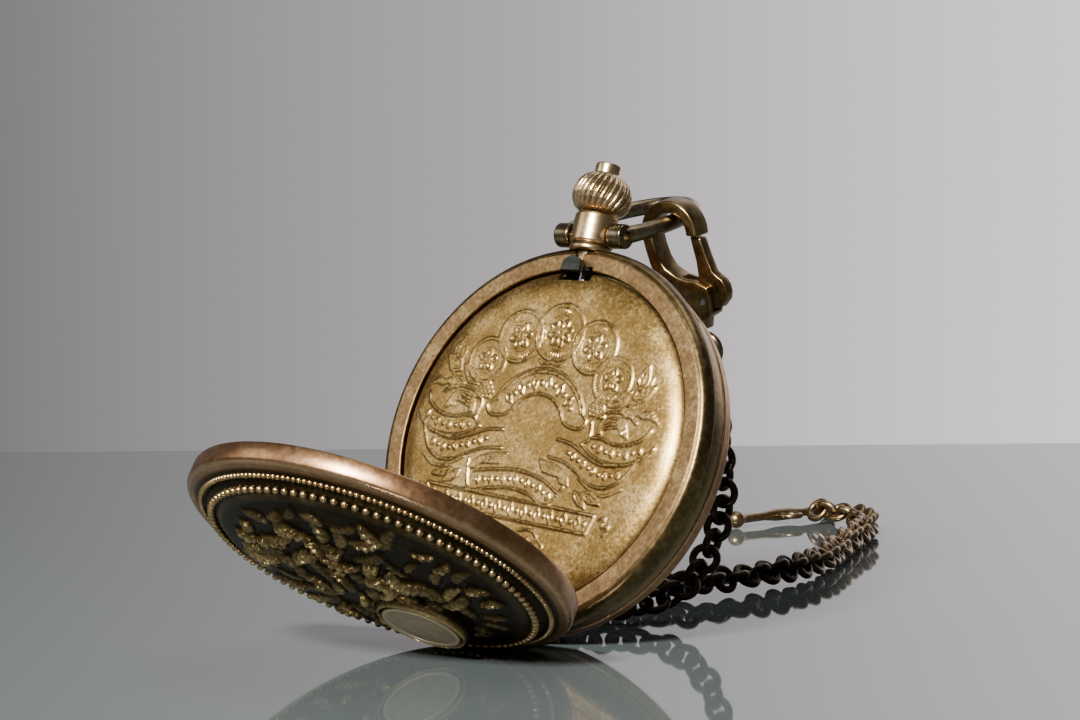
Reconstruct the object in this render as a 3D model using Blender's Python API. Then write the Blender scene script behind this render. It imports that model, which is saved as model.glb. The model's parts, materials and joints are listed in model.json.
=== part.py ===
"""Pocket watch: hinged back cover, engraved dust cover, crown with push button, bow, clasp and chain.

The watch is designed upright in its own frame, X to the right, Y from the back cover towards the
dial and Z towards the crown, with the dust cover's side facing -Y. It then leans back onto the
table, standing on its bezel and on the opened back cover. All sizes are in millimetres; the mesh
helpers turn them into metres.
"""
from math import atan2, cos, pi, radians, sin, sqrt

import bmesh
import bpy
from mathutils import Matrix, Vector

MM = 0.001

# ---- driving dimensions: case -----------------------------------------------------------------
RING_RADIUS = 23.45          # flat front ring, outside
RING_WIDTH = 2.1
BAND_BULGE = 1.05            # how far the band's seam stands out past the ring
SEAM_DEPTH = 1.84            # depth of the band's widest line below the ring
BAND_DEPTH = 4.9             # front ring to the band's rear edge
BAND_WALL = 2.55             # ring outside to the bore that holds the movement
BEZEL_DEPTH = 8.3            # front ring to the bezel's rear face
BEZEL_FOOT_DEPTH = 7.08      # depth of the bezel's rear rim, which stands on the table
BEZEL_FOOT_RADIUS = RING_RADIUS - 0.25
SEAT_GAP = 0.3               # between pieces that rest on each other
SLIP_GAP = 0.05              # radial, pin in hole

# ---- back cover -------------------------------------------------------------------------------
LID_RADIUS = RING_RADIUS + 0.2
LID_RIM_HEIGHT = 2.62        # straight polished wall of the back cover
LID_WALL = 1.05
LID_SEAT_GAP = 0.15          # closed cover to front ring
LID_OPEN_DEG = 78.2
BEAD_OUTER_RADIUS = LID_RADIUS - 2.17    # outer row of beads
BEAD_OUTER_HEIGHT = 3.25
BEAD_SIZE = 0.35
BEAD_INNER_RADIUS = LID_RADIUS - 3.78
BEAD_INNER_HEIGHT = 4.17
RELIEF_HEIGHT = 7.3          # highest point of the raised scene above the rim
LID_FLOOR = 5.1              # inside of the cover, above the rim, at the centre
PLATE_RADIUS = 4.8           # polished oval plate set in the relief
PLATE_THICKNESS = 0.9
PLATE_CENTRE = (2.5, -8.45)
PLATE_HEIGHT = 7.35
HINGE_RADIUS = RING_RADIUS - 0.01    # watch centre to hinge axis
HINGE_DEPTH = 0.1
KNUCKLE_RADIUS = 0.8
PIN_RADIUS = 0.35
LID_KNUCKLE_HALF = 2.3
HINGE_HALF = 6.2
KNUCKLE_GAP = 0.2

# ---- dust cover, latch ------------------------------------------------------------------------
CUVETTE_DOME = 0.75
CUVETTE_WALL = 0.5
CUVETTE_ROLL = 6.0           # width of the rolled edge
LATCH_HALF = 1.4
LATCH_HEAD = 1.0
LATCH_TOP = RING_RADIUS - 0.65
SLOT_HALF = 2.5

# ---- pendant, crown, bow ----------------------------------------------------------------------
PENDANT_DEPTH = 1.75
NECK_RADIUS = 2.55
COLLAR_RADIUS = 2.72
COLLAR_BOTTOM = RING_RADIUS + BAND_BULGE + 0.45
COLLAR_TOP = COLLAR_BOTTOM + 3.8
CROWN_RADIUS = 3.72
CROWN_HEIGHT = 5.1
CROWN_FLUTES = 24
FLUTE_DEPTH = 0.28
BUTTON_RADIUS = 1.6
BUTTON_HEIGHT = 1.35
BUTTON_TRAVEL = 0.7
STEM_RADIUS = 0.6
ROD_RADIUS = 0.25
BOW_PIVOT = COLLAR_BOTTOM + 1.35
BOW_WIRE_RADIUS = 1.0
BOW_HALF_WIDTH = 6.2
BOW_HALF_LENGTH = 10.2
BOW_END_HALF = 4.2
BOW_BACK_DEG = 58.0

# ---- movement ---------------------------------------------------------------------------------
MAIN_PLATE_GAP = 0.4
MAIN_PLATE_TOP = 3.7
MAIN_PLATE_THICKNESS = 1.0
BRIDGE_TOP = 0.5
BRIDGE_THICKNESS = 0.7
ARBOR_RADIUS = 0.25
DIAL_TOP = 5.9
DIAL_THICKNESS = 0.3
DIAL_RADIUS = RING_RADIUS - BAND_WALL - 0.6
HAND_SECONDS_LENGTH = 2.6
HAND_HOUR_LENGTH = 10.5
HAND_MINUTE_LENGTH = 16.0

# ---- clasp and chain --------------------------------------------------------------------------
CLASP_HALF_WIDTH = 4.1
CLASP_WALL = 1.55
CLASP_THICKNESS = 3.0
CLASP_LENGTH = 16.8
GATE_THICKNESS = 1.5
CLASP_BOW_POINT = 8.6        # along the bow, from its pivot, where the clasp hangs
CLASP_LEAN = (0.2, 0.17)     # sideways and backwards per unit down
CHAIN_RADIUS = 2.05
CHAIN_LIE = 2.1              # height of the chain's middle where it lies on the table
CHAIN_ROUTE = [
    (9.4, 22.9, 30.9), (9.8, 23.4, 25.0), (10.0, 24.0, 19.5), (9.8, 24.2, 14.5), (9.1, 23.0, 9.6),
    (7.8, 20.2, 5.2), (5.2, 16.0, 2.6), (1.0, 12.4, CHAIN_LIE), (-5.0, 11.6, CHAIN_LIE),
    (-9.6, 15.6, CHAIN_LIE), (-10.2, 22.0, CHAIN_LIE), (-6.8, 29.0, CHAIN_LIE), (-3.6, 36.0, CHAIN_LIE),
    (-2.2, 43.0, CHAIN_LIE), (-1.6, 50.0, CHAIN_LIE), (-2.0, 58.0, CHAIN_LIE), (-4.8, 68.0, CHAIN_LIE),
    (-9.4, 78.0, CHAIN_LIE), (-13.8, 87.0, CHAIN_LIE), (-17.6, 96.0, CHAIN_LIE),
    (-22.6, 104.6, CHAIN_LIE), (-29.2, 110.4, CHAIN_LIE), (-36.6, 112.0, CHAIN_LIE),
]
CHAIN_STEP = 4.4
BAR_CENTRE = (-41.6, 109.6)
BAR_DIRECTION = (-0.19, -0.98)
BAR_LENGTH = 19.0
BAR_RADIUS = 0.7
BAR_BALL = 1.3

# ---- worked out -------------------------------------------------------------------------------
CASE_STEPS = 56               # facets round the case
RING_INNER = RING_RADIUS - RING_WIDTH
SEAM_RADIUS = RING_RADIUS + BAND_BULGE
BORE_RADIUS = RING_RADIUS - BAND_WALL
CUVETTE_RADIUS = RING_INNER - SEAT_GAP
RIM_OFFSET = LID_SEAT_GAP + HINGE_DEPTH
MAIN_PLATE_RADIUS = BORE_RADIUS - MAIN_PLATE_GAP
CROWN_BOTTOM = COLLAR_TOP + SEAT_GAP
CROWN_TOP = CROWN_BOTTOM + CROWN_HEIGHT
BEZEL_BORE = DIAL_RADIUS + 1.9
CRYSTAL_RADIUS = DIAL_RADIUS - 0.2


# the back cover's outside, as (radius, height above the rim)
COVER_PROFILE = [
    (0, RELIEF_HEIGHT), (7.5, RELIEF_HEIGHT - 0.25), (11.5, RELIEF_HEIGHT - 0.8), (15.0, RELIEF_HEIGHT - 1.7),
    (BEAD_INNER_RADIUS - 1.4, BEAD_INNER_HEIGHT + 0.55), (BEAD_INNER_RADIUS - 0.5, BEAD_INNER_HEIGHT + 0.5),
    (BEAD_INNER_RADIUS + 0.1, BEAD_INNER_HEIGHT + 0.35), (BEAD_INNER_RADIUS + 0.6, BEAD_INNER_HEIGHT - 0.4),
    (BEAD_OUTER_RADIUS - 0.5, BEAD_OUTER_HEIGHT + 0.15),
    (BEAD_OUTER_RADIUS + BEAD_SIZE, BEAD_OUTER_HEIGHT + 0.7 * BEAD_SIZE),
    (BEAD_OUTER_RADIUS + BEAD_SIZE + 0.25, BEAD_OUTER_HEIGHT - 0.2), (LID_RADIUS - 0.9, LID_RIM_HEIGHT + 0.1),
    (LID_RADIUS - 0.45, LID_RIM_HEIGHT), (LID_RADIUS, LID_RIM_HEIGHT - 0.5), (LID_RADIUS, 0.4),
    (LID_RADIUS - 0.2, 0.0), (LID_RADIUS - LID_WALL, 0.0),
]


def contact_lean():
    """Lean of the watch, standing on its bezel's foot and on the lowest line of the open cover."""
    angle = radians(LID_OPEN_DEG)
    leans = []
    for radius, height in COVER_PROFILE:
        reach, out = HINGE_RADIUS - radius, height + RIM_OFFSET
        cover_up = -HINGE_RADIUS + reach * cos(angle) - out * sin(angle)
        cover_out = -HINGE_DEPTH + reach * sin(angle) + out * cos(angle)
        leans.append(atan2(-BEZEL_FOOT_RADIUS - cover_up, cover_out + BEZEL_FOOT_DEPTH))
    return max(leans)


LEAN = contact_lean()
CENTRE_HEIGHT = BEZEL_FOOT_RADIUS * cos(LEAN) + BEZEL_FOOT_DEPTH * sin(LEAN)


# ---- mesh helpers -----------------------------------------------------------------------------
for old in list(bpy.data.objects):
    bpy.data.objects.remove(old)

MATERIALS = {}


def material(name, color, roughness, metallic):
    """A plain material, kept by name."""
    if name not in MATERIALS:
        made = bpy.data.materials.new(name)
        made.use_nodes = True
        shader = made.node_tree.nodes["Principled BSDF"]
        shader.inputs["Base Color"].default_value = (*color, 1.0)
        shader.inputs["Roughness"].default_value = roughness
        shader.inputs["Metallic"].default_value = metallic
        MATERIALS[name] = made
    return MATERIALS[name]


def antique_brass():
    return material("antique_brass", (0.42, 0.29, 0.12), 0.38, 1.0)


def copper_brass():
    return material("copper_brass", (0.40, 0.24, 0.15), 0.32, 1.0)


def dark_bronze():
    return material("dark_bronze", (0.16, 0.12, 0.07), 0.4, 1.0)


def movement_brass():
    return material("movement_brass", (0.72, 0.55, 0.28), 0.3, 1.0)


def steel():
    return material("steel", (0.35, 0.36, 0.37), 0.3, 1.0)


def empty(name, parent, location=(0, 0, 0), rotation=(0, 0, 0)):
    """A frame that pieces are placed in."""
    made = bpy.data.objects.new(name, None)
    bpy.context.scene.collection.objects.link(made)
    made.parent = parent
    made.location = [value * MM for value in location]
    made.rotation_euler = rotation
    return made


def add(name, shape, finish, parent, sharp_deg=32):
    """Turn a bmesh in millimetres into a named object in metres."""
    bmesh.ops.recalc_face_normals(shape, faces=shape.faces)
    bmesh.ops.scale(shape, vec=(MM, MM, MM), verts=shape.verts)
    mesh = bpy.data.meshes.new(name)
    shape.to_mesh(mesh)
    shape.free()
    mesh.shade_smooth()
    mesh.set_sharp_from_angle(angle=radians(sharp_deg))
    made = bpy.data.objects.new(name, mesh)
    bpy.context.scene.collection.objects.link(made)
    made.parent = parent
    if finish is not None:
        mesh.materials.append(finish)
    return made


def turned(outline, steps, axis="Y", centre=(0, 0, 0)):
    """Turn an outline of (radius, height) about an axis; it is closed unless it starts on the axis."""
    shape = bmesh.new()
    along = {"Y": lambda r, h: (r, h, 0), "Z": lambda r, h: (r, 0, h), "X": lambda r, h: (h, r, 0)}[axis]
    verts = [shape.verts.new(along(r, h)) for r, h in outline]
    pairs = list(zip(verts, verts[1:]))
    if outline[0][0] > 0 or outline[-1][0] > 0:
        pairs.append((verts[-1], verts[0]))
    edges = [shape.edges.new(pair) for pair in pairs]
    direction = {"X": (1, 0, 0), "Y": (0, 1, 0), "Z": (0, 0, 1)}[axis]
    bmesh.ops.spin(shape, geom=verts + edges, cent=(0, 0, 0), axis=direction, angle=2 * pi,
                   steps=steps, use_merge=True)
    bmesh.ops.remove_doubles(shape, verts=shape.verts, dist=1e-5)
    bmesh.ops.translate(shape, vec=centre, verts=shape.verts)
    return shape


def rod(radius, low, high, steps=16, axis="Y", centre=(0, 0, 0)):
    """A plain cylinder between two heights on its axis."""
    return turned([(0, low), (radius, low), (radius, high), (0, high)], steps, axis, centre)


def sleeve(radius, bore, low, high, steps=16, axis="Y", centre=(0, 0, 0)):
    """A tube between two heights on its axis."""
    return turned([(bore, low), (radius, low), (radius, high), (bore, high)], steps, axis, centre)


def block(low, high):
    """A box between two corners."""
    shape = bmesh.new()
    bmesh.ops.create_cube(shape, size=1.0)
    size = [b - a for a, b in zip(low, high)]
    middle = [(a + b) / 2 for a, b in zip(low, high)]
    bmesh.ops.scale(shape, vec=size, verts=shape.verts)
    bmesh.ops.translate(shape, vec=middle, verts=shape.verts)
    return shape


def prism(points, low, high):
    """An outline of (x, z) points, extruded along Y from low to high."""
    shape = bmesh.new()
    verts = [shape.verts.new((x, low, z)) for x, z in points]
    face = shape.faces.new(verts)
    grown = bmesh.ops.extrude_face_region(shape, geom=[face])
    moved = [item for item in grown["geom"] if isinstance(item, bmesh.types.BMVert)]
    bmesh.ops.translate(shape, vec=(0, high - low, 0), verts=moved)
    return shape


def combine(target, tool_shape, operation):
    """Add to, or cut from, an object with a hidden tool."""
    tool = add(f"tool_{target.name}_{len(target.modifiers)}", tool_shape, None, target.parent)
    tool.hide_render = True
    tool.display_type = "WIRE"
    change = target.modifiers.new(f"{operation.lower()}_{len(target.modifiers)}", "BOOLEAN")
    change.operation = operation
    change.object = tool


def cut(target, tool_shape):
    combine(target, tool_shape, "DIFFERENCE")


def join(target, tool_shape):
    combine(target, tool_shape, "UNION")


def arc(centre, radius, start_deg, end_deg, steps):
    """Points on a circle in the XZ plane."""
    angles = [radians(start_deg + (end_deg - start_deg) * k / steps) for k in range(steps + 1)]
    return [(centre[0] + radius * cos(a), centre[1] + radius * sin(a)) for a in angles]


# ---- frames -----------------------------------------------------------------------------------
stand = empty("stand", None)
watch = empty("watch", stand, (0, 0, CENTRE_HEIGHT), (-LEAN, 0, 0))
cover = empty("cover", watch, (0, HINGE_DEPTH, -HINGE_RADIUS), (radians(LID_OPEN_DEG), 0, 0))


# ---- case -------------------------------------------------------------------------------------
def case_band():
    """The case's middle: flat front ring, half-round band and the bore for the movement."""
    shelf = CUVETTE_WALL + 0.8
    outline = [
        (RING_INNER, 0.12), (RING_INNER + 0.12, 0.0), (RING_RADIUS - 0.12, 0.0), (RING_RADIUS, 0.12),
        (RING_RADIUS + 0.43 * BAND_BULGE, 0.27 * SEAM_DEPTH), (RING_RADIUS + 0.77 * BAND_BULGE, 0.55 * SEAM_DEPTH),
        (SEAM_RADIUS - 0.04, 0.84 * SEAM_DEPTH), (SEAM_RADIUS, SEAM_DEPTH), (SEAM_RADIUS - 0.12, SEAM_DEPTH + 0.15),
        (SEAM_RADIUS - 0.75, SEAM_DEPTH + 0.3), (RING_RADIUS + 0.15, SEAM_DEPTH + 0.7),
        (RING_RADIUS + 0.15, BAND_DEPTH), (BORE_RADIUS, BAND_DEPTH), (BORE_RADIUS, shelf), (RING_INNER, shelf),
    ]
    band = add("case_band", turned(outline, CASE_STEPS), antique_brass(), watch)
    cut(band, block((-HINGE_HALF - 0.4, -0.3, -SEAM_RADIUS - 0.5), (HINGE_HALF + 0.4, 1.35, -HINGE_RADIUS + 1.15)))
    for side in (-1, 1):
        low = min(side * (LID_KNUCKLE_HALF + KNUCKLE_GAP), side * HINGE_HALF)
        high = max(side * (LID_KNUCKLE_HALF + KNUCKLE_GAP), side * HINGE_HALF)
        join(band, block((low + 0.1, 0.62, -HINGE_RADIUS - 0.5), (high - 0.1, 1.6, -HINGE_RADIUS + 0.45)))
        join(band, sleeve(KNUCKLE_RADIUS, PIN_RADIUS + SLIP_GAP, low, high, 16, "X",
                          (0, HINGE_DEPTH, -HINGE_RADIUS)))
    cut(band, block((-SLOT_HALF, -1.0, BORE_RADIUS - 2), (SLOT_HALF, BAND_DEPTH - 1.2, RING_INNER + 0.4)))
    cut(band, rod(NECK_RADIUS - 0.7, BORE_RADIUS - 3, SEAM_RADIUS + 1, 24, "Z", (0, PENDANT_DEPTH, 0)))
    seat = LID_RADIUS + SEAT_GAP - 2 * SLIP_GAP
    cut(band, rod(NECK_RADIUS + 2 * SLIP_GAP, seat, SEAM_RADIUS + 1, 28, "Z", (0, PENDANT_DEPTH, 0)))
    return band


def bezel():
    """Snap-on ring on the dial side; its rear rim is the watch's foot on the table."""
    front = BAND_DEPTH + SEAT_GAP
    foot, depth = BEZEL_FOOT_RADIUS, BEZEL_FOOT_DEPTH
    lip = DIAL_TOP + DIAL_THICKNESS + SEAT_GAP
    outline = [
        (foot + 0.3, front), (foot + 0.4, front + 0.3), (foot + 0.1, front + 0.7), (foot, depth),
        (foot - 0.3, depth + 0.27), (foot - 1.65, BEZEL_DEPTH), (CRYSTAL_RADIUS + SEAT_GAP + 0.25, BEZEL_DEPTH),
        (CRYSTAL_RADIUS + SEAT_GAP, BEZEL_DEPTH - 0.3), (CRYSTAL_RADIUS + SEAT_GAP, lip + 0.45),
        (CRYSTAL_RADIUS - 0.6, lip + 0.45), (CRYSTAL_RADIUS - 0.6, lip), (BEZEL_BORE, lip), (BEZEL_BORE, front),
    ]
    return add("bezel", turned(outline, CASE_STEPS), copper_brass(), watch)


def crystal():
    """Domed glass over the dial."""
    low = DIAL_TOP + DIAL_THICKNESS + 2 * SEAT_GAP + 0.45
    outline = [(0, BEZEL_DEPTH - 0.15), (0.5 * CRYSTAL_RADIUS, BEZEL_DEPTH - 0.25), (0.95 * CRYSTAL_RADIUS, low + 0.65),
               (CRYSTAL_RADIUS, low + 0.5), (CRYSTAL_RADIUS, low), (0.95 * CRYSTAL_RADIUS, low),
               (0.5 * CRYSTAL_RADIUS, low + 0.2), (0, low + 0.3)]
    return add("crystal", turned(outline, 40), material("crystal", (0.9, 0.93, 0.95), 0.05, 0.0), watch)


def dust_cover():
    """The inner cover: a shallow dome with a rolled edge, slotted for the latch."""
    edge, roll, dome = CUVETTE_RADIUS, CUVETTE_ROLL, CUVETTE_DOME
    drop = [(1.0, 0.0), (0.6, 0.12), (0.34, 0.38), (0.17, 0.7), (0.06, 1.0)]
    outer = [(0, -dome), (0.5 * edge, -dome + 0.05)]
    outer += [(edge - share * roll, -dome + fall * (dome + 0.4)) for share, fall in drop]
    outer += [(edge, 0.75), (edge, 1.0), (edge - CUVETTE_WALL, 1.0)]
    inner = [(edge - max(share * roll, 0.65) - 0.05, -dome + fall * (dome + 0.4) + CUVETTE_WALL)
             for share, fall in reversed(drop[:-1])]
    inner += [(0.5 * edge, -dome + 0.05 + CUVETTE_WALL), (0, -dome + CUVETTE_WALL)]
    disc = add("dust_cover", turned(outer + inner, 56), antique_brass(), watch)
    cut(disc, block((-SLOT_HALF, -1.5, CUVETTE_RADIUS - 1.15), (SLOT_HALF, 1.5, CUVETTE_RADIUS + 1)))
    return disc


def hinge_pin():
    return add("lid_hinge_pin", rod(PIN_RADIUS, -HINGE_HALF + 0.1, HINGE_HALF - 0.1, 16, "X",
                                    (0, HINGE_DEPTH, -HINGE_RADIUS)), steel(), watch)


def back_cover():
    """The outer back cover, drawn closed in the cover's own frame, whose origin is the hinge axis."""
    def at(height):
        return -(height + RIM_OFFSET)

    wall = LID_RADIUS - LID_WALL
    inner = [(wall, 1.7), (wall - 0.8, 2.15), (BEAD_INNER_RADIUS - 0.9, 3.0),
             (0.72 * BEAD_INNER_RADIUS, LID_FLOOR - 0.9), (0.4 * BEAD_INNER_RADIUS, LID_FLOOR - 0.25),
             (0, LID_FLOOR)]
    centre = (0, 0, HINGE_RADIUS)
    shell = turned([(r, at(h)) for r, h in COVER_PROFILE + inner], CASE_STEPS, "Y", centre)
    lid = add("back_cover", shell, copper_brass(), cover)
    clear = KNUCKLE_RADIUS + 0.3
    for side in (-1, 1):
        low = min(side * LID_KNUCKLE_HALF, side * (HINGE_HALF + 0.4))
        high = max(side * LID_KNUCKLE_HALF, side * (HINGE_HALF + 0.4))
        cut(lid, block((low, -clear, -1.6), (high, 0.5, clear)))
    catch = HINGE_RADIUS + wall
    cut(lid, block((-LATCH_HALF - SEAT_GAP, at(LATCH_HEAD + 2 * SEAT_GAP), catch - 0.5),
                   (LATCH_HALF + SEAT_GAP, at(-0.5), catch + 0.45)))
    join(lid, rod(KNUCKLE_RADIUS, -LID_KNUCKLE_HALF, LID_KNUCKLE_HALF, 16, "X"))
    cut(lid, rod(PIN_RADIUS + SLIP_GAP, -LID_KNUCKLE_HALF - 1, LID_KNUCKLE_HALF + 1, 12, "X"))
    plate_spot = (PLATE_CENTRE[0], 0, HINGE_RADIUS + PLATE_CENTRE[1])
    pocket = PLATE_HEIGHT - PLATE_THICKNESS - SEAT_GAP
    cut(lid, rod(PLATE_RADIUS + SEAT_GAP, at(pocket), at(RELIEF_HEIGHT + 1.5), 36, "Y", plate_spot))
    outline = [(0, at(PLATE_HEIGHT - PLATE_THICKNESS)), (PLATE_RADIUS, at(PLATE_HEIGHT - PLATE_THICKNESS)),
               (PLATE_RADIUS, at(PLATE_HEIGHT - 0.2)), (PLATE_RADIUS - 0.2, at(PLATE_HEIGHT)), (0, at(PLATE_HEIGHT))]
    add("name_plate", turned(outline, 36, "Y", plate_spot), movement_brass(), cover)
    return lid


def latch():
    """Steel latch: its head holds the closed cover, its tail lies before the button's rod."""
    head_low = RING_INNER - 0.4
    head = [(-LATCH_HALF, head_low), (LATCH_HALF, head_low)]
    head += arc((0, LATCH_TOP - LATCH_HALF), LATCH_HALF, 0, 180, 8)
    body = add("latch", prism(head, -SEAT_GAP - LATCH_HEAD, -SEAT_GAP), steel(), watch)
    strip_y = MAIN_PLATE_TOP - 0.55
    tail_z = 13.2
    join(body, block((0.85, -SEAT_GAP - 0.5, head_low), (LATCH_HALF + 0.1, strip_y + 0.3, RING_INNER)))
    join(body, block((-0.6, strip_y, tail_z), (LATCH_HALF + 0.1, strip_y + 0.3, RING_INNER)))
    join(body, block((-0.6, PENDANT_DEPTH - 0.5, tail_z), (0.6, strip_y + 0.2, tail_z + 0.5)))
    return body


# ---- pendant, crown, bow ----------------------------------------------------------------------
def pendant():
    """Neck and collar, with a spigot in the band and a bore for the stem."""
    neck, collar = NECK_RADIUS, COLLAR_RADIUS
    bore = STEM_RADIUS + SLIP_GAP
    foot = LID_RADIUS + SEAT_GAP
    outline = [
        (bore, BORE_RADIUS + 0.6), (neck - 1.0, BORE_RADIUS + 0.6), (neck - 1.0, foot), (neck, foot),
        (neck + 0.05, COLLAR_BOTTOM - 0.35), (neck - 0.3, COLLAR_BOTTOM - 0.1),
        (neck - 0.3, COLLAR_BOTTOM), (collar - 0.1, COLLAR_BOTTOM + 0.1), (collar, COLLAR_BOTTOM + 0.3),
        (collar, COLLAR_TOP - 0.3), (collar - 0.15, COLLAR_TOP), (bore, COLLAR_TOP),
    ]
    body = add("pendant", turned(outline, 28, "Z", (0, PENDANT_DEPTH, 0)), antique_brass(), watch)
    for side in (-1, 1):
        low, high = sorted((side * (collar - 0.5), side * (BOW_END_HALF + 0.75)))
        join(body, rod(0.55, low, high, 12, "X", (0, PENDANT_DEPTH, BOW_PIVOT)))
    return body


def crown():
    """Onion crown with slanting flutes."""
    steps = CROWN_FLUTES * 2
    height = CROWN_TOP - CROWN_BOTTOM
    rings = [(0.56, 0.0), (0.80, 0.08), (0.97, 0.28), (1.0, 0.5), (0.93, 0.72), (0.74, 0.9), (0.55, 1.0)]
    shape = bmesh.new()
    loops = []
    for share, rise in rings:
        fluted = FLUTE_DEPTH * sin(pi * min(1.0, max(0.0, rise))) if share > 0.6 else 0.0
        twist = 0.22 * (rise - 0.5)
        loop = []
        for k in range(steps):
            angle = 2 * pi * k / steps + twist
            radius = CROWN_RADIUS * share - (fluted if k % 2 else 0.0)
            loop.append(shape.verts.new((radius * cos(angle), radius * sin(angle), CROWN_BOTTOM + rise * height)))
        loops.append(loop)
    for a, b in zip(loops, loops[1:]):
        for k in range(steps):
            shape.faces.new((a[k], a[(k + 1) % steps], b[(k + 1) % steps], b[k]))
    shape.faces.new(list(reversed(loops[0])))
    shape.faces.new(loops[-1])
    bmesh.ops.translate(shape, vec=(0, PENDANT_DEPTH, 0), verts=shape.verts)
    body = add("crown", shape, antique_brass(), watch)
    axis_spot = (0, PENDANT_DEPTH, 0)
    well = CROWN_TOP - BUTTON_TRAVEL - SEAT_GAP - 0.3
    cut(body, rod(BUTTON_RADIUS + SLIP_GAP, well, CROWN_TOP + 1, 24, "Z", axis_spot))
    cut(body, rod(STEM_RADIUS + SLIP_GAP, CROWN_BOTTOM - 1, well + 0.2, 16, "Z", axis_spot))
    return body


def push_button():
    """Button in the crown's top, with the rod that reaches the latch's tail."""
    low = CROWN_TOP - 0.3
    top = CROWN_TOP + BUTTON_HEIGHT
    outline = [(0, 13.9), (ROD_RADIUS, 13.9), (ROD_RADIUS, low), (BUTTON_RADIUS, low), (BUTTON_RADIUS, top - 0.15),
               (BUTTON_RADIUS - 0.15, top), (0, top)]
    return add("push_button", turned(outline, 24, "Z", (0, PENDANT_DEPTH, 0)), antique_brass(), watch)


def stem():
    """Hollow winding stem with its pinion; the button's rod runs through it."""
    bore = ROD_RADIUS + SLIP_GAP
    top = CROWN_TOP - BUTTON_TRAVEL - SEAT_GAP - 0.45
    outline = [(bore, 14.3), (STEM_RADIUS, 14.3), (STEM_RADIUS, top), (bore, top)]
    add("stem", turned(outline, 16, "Z", (0, PENDANT_DEPTH, 0)), steel(), watch)
    pinion_bore = STEM_RADIUS + SLIP_GAP
    outline = [(pinion_bore, 14.9), (1.05, 14.9), (1.3, 15.2), (1.3, 16.3), (pinion_bore, 16.3)]
    add("winding_pinion", turned(outline, 20, "Z", (0, PENDANT_DEPTH, 0)), steel(), watch)


def bow_point(t):
    """Centre line of the bow: an open ellipse whose ends turn in to the pivots; t runs 0 to 1."""
    centre = BOW_HALF_LENGTH * sqrt(1 - (BOW_END_HALF / BOW_HALF_WIDTH) ** 2)
    start = atan2(BOW_END_HALF / BOW_HALF_WIDTH, -centre / BOW_HALF_LENGTH)
    angle = start * (1 - 2 * t)
    return Vector((BOW_HALF_WIDTH * sin(angle), 0, centre + BOW_HALF_LENGTH * cos(angle)))


bow_frame = empty("bow_frame", watch, (0, PENDANT_DEPTH, BOW_PIVOT), (-radians(BOW_BACK_DEG), 0, 0))


def bow():
    """The bow: round wire with flattened eyes on the pendant's pivots."""
    steps, sides = 26, 10
    points = [bow_point(0.02 + 0.96 * k / steps) for k in range(steps + 1)]
    shape = bmesh.new()
    loops = []
    for k, point in enumerate(points):
        before, after = points[max(k - 1, 0)], points[min(k + 1, steps)]
        along = (after - before).normalized()
        across = along.cross(Vector((0, 1, 0))).normalized()
        loop = []
        for j in range(sides):
            angle = 2 * pi * j / sides
            offset = across * cos(angle) + Vector((0, 1, 0)) * sin(angle)
            loop.append(shape.verts.new(point + offset * BOW_WIRE_RADIUS))
        loops.append(loop)
    for a, b in zip(loops, loops[1:]):
        for j in range(sides):
            shape.faces.new((a[j], a[(j + 1) % sides], b[(j + 1) % sides], b[j]))
    shape.faces.new(loops[0])
    shape.faces.new(list(reversed(loops[-1])))
    body = add("bow", shape, dark_bronze(), bow_frame)
    for side in (-1, 1):
        low, high = sorted((side * (COLLAR_RADIUS + SEAT_GAP), side * (BOW_END_HALF + 1.0)))
        join(body, rod(1.55, low, high, 20, "X"))
    cut(body, rod(0.55 + SLIP_GAP, -BOW_END_HALF - 2, BOW_END_HALF + 2, 12, "X"))
    return body


# ---- movement ---------------------------------------------------------------------------------
class Gear:
    """A toothed wheel: pitch radius from module and teeth, pointed teeth, and the angle of one tooth."""

    def __init__(self, teeth, module):
        self.teeth = teeth
        self.module = module
        self.pitch_radius = teeth * module / 2
        self.phase = 0.0

    def outline(self, centre):
        pitch = 2 * pi / self.teeth
        tip = self.pitch_radius + 0.55 * self.module
        root = self.pitch_radius - 0.95 * self.module
        points = []
        for k in range(self.teeth):
            angle = self.phase + k * pitch
            for radius, turn in ((tip, 0.0), (root, 0.5 * pitch)):
                points.append((centre[0] + radius * cos(angle + turn), centre[1] + radius * sin(angle + turn)))
        return points

    def mesh_with(self, centre, other, other_centre):
        """Turn this gear so that its gaps face the other gear's teeth."""
        line = atan2(centre[1] - other_centre[1], centre[0] - other_centre[0])
        share = ((line - other.phase) / (2 * pi / other.teeth)) % 1.0
        self.phase = line + pi - (0.5 - share) * 2 * pi / self.teeth


def beside(centre, distance, angle_deg):
    return (centre[0] + distance * cos(radians(angle_deg)), centre[1] + distance * sin(radians(angle_deg)))


BARREL, CENTRE_PINION = Gear(48, 0.28), Gear(8, 0.28)
CENTRE_WHEEL, THIRD_PINION = Gear(60, 0.22), Gear(8, 0.22)
THIRD_WHEEL, FOURTH_PINION = Gear(64, 0.18), Gear(8, 0.18)
FOURTH_WHEEL, ESCAPE_PINION = Gear(60, 0.15), Gear(6, 0.15)
RATCHET, CROWN_WHEEL = Gear(40, 0.24), Gear(24, 0.24)
CANNON, MINUTE_WHEEL = Gear(10, 0.2), Gear(30, 0.2)
MINUTE_PINION, HOUR_WHEEL = Gear(8, 0.2), Gear(32, 0.2)
ESCAPE_RADIUS, BALANCE_RADIUS = 3.1, 4.5


def gap(a, b):
    return a.pitch_radius + b.pitch_radius


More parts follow.
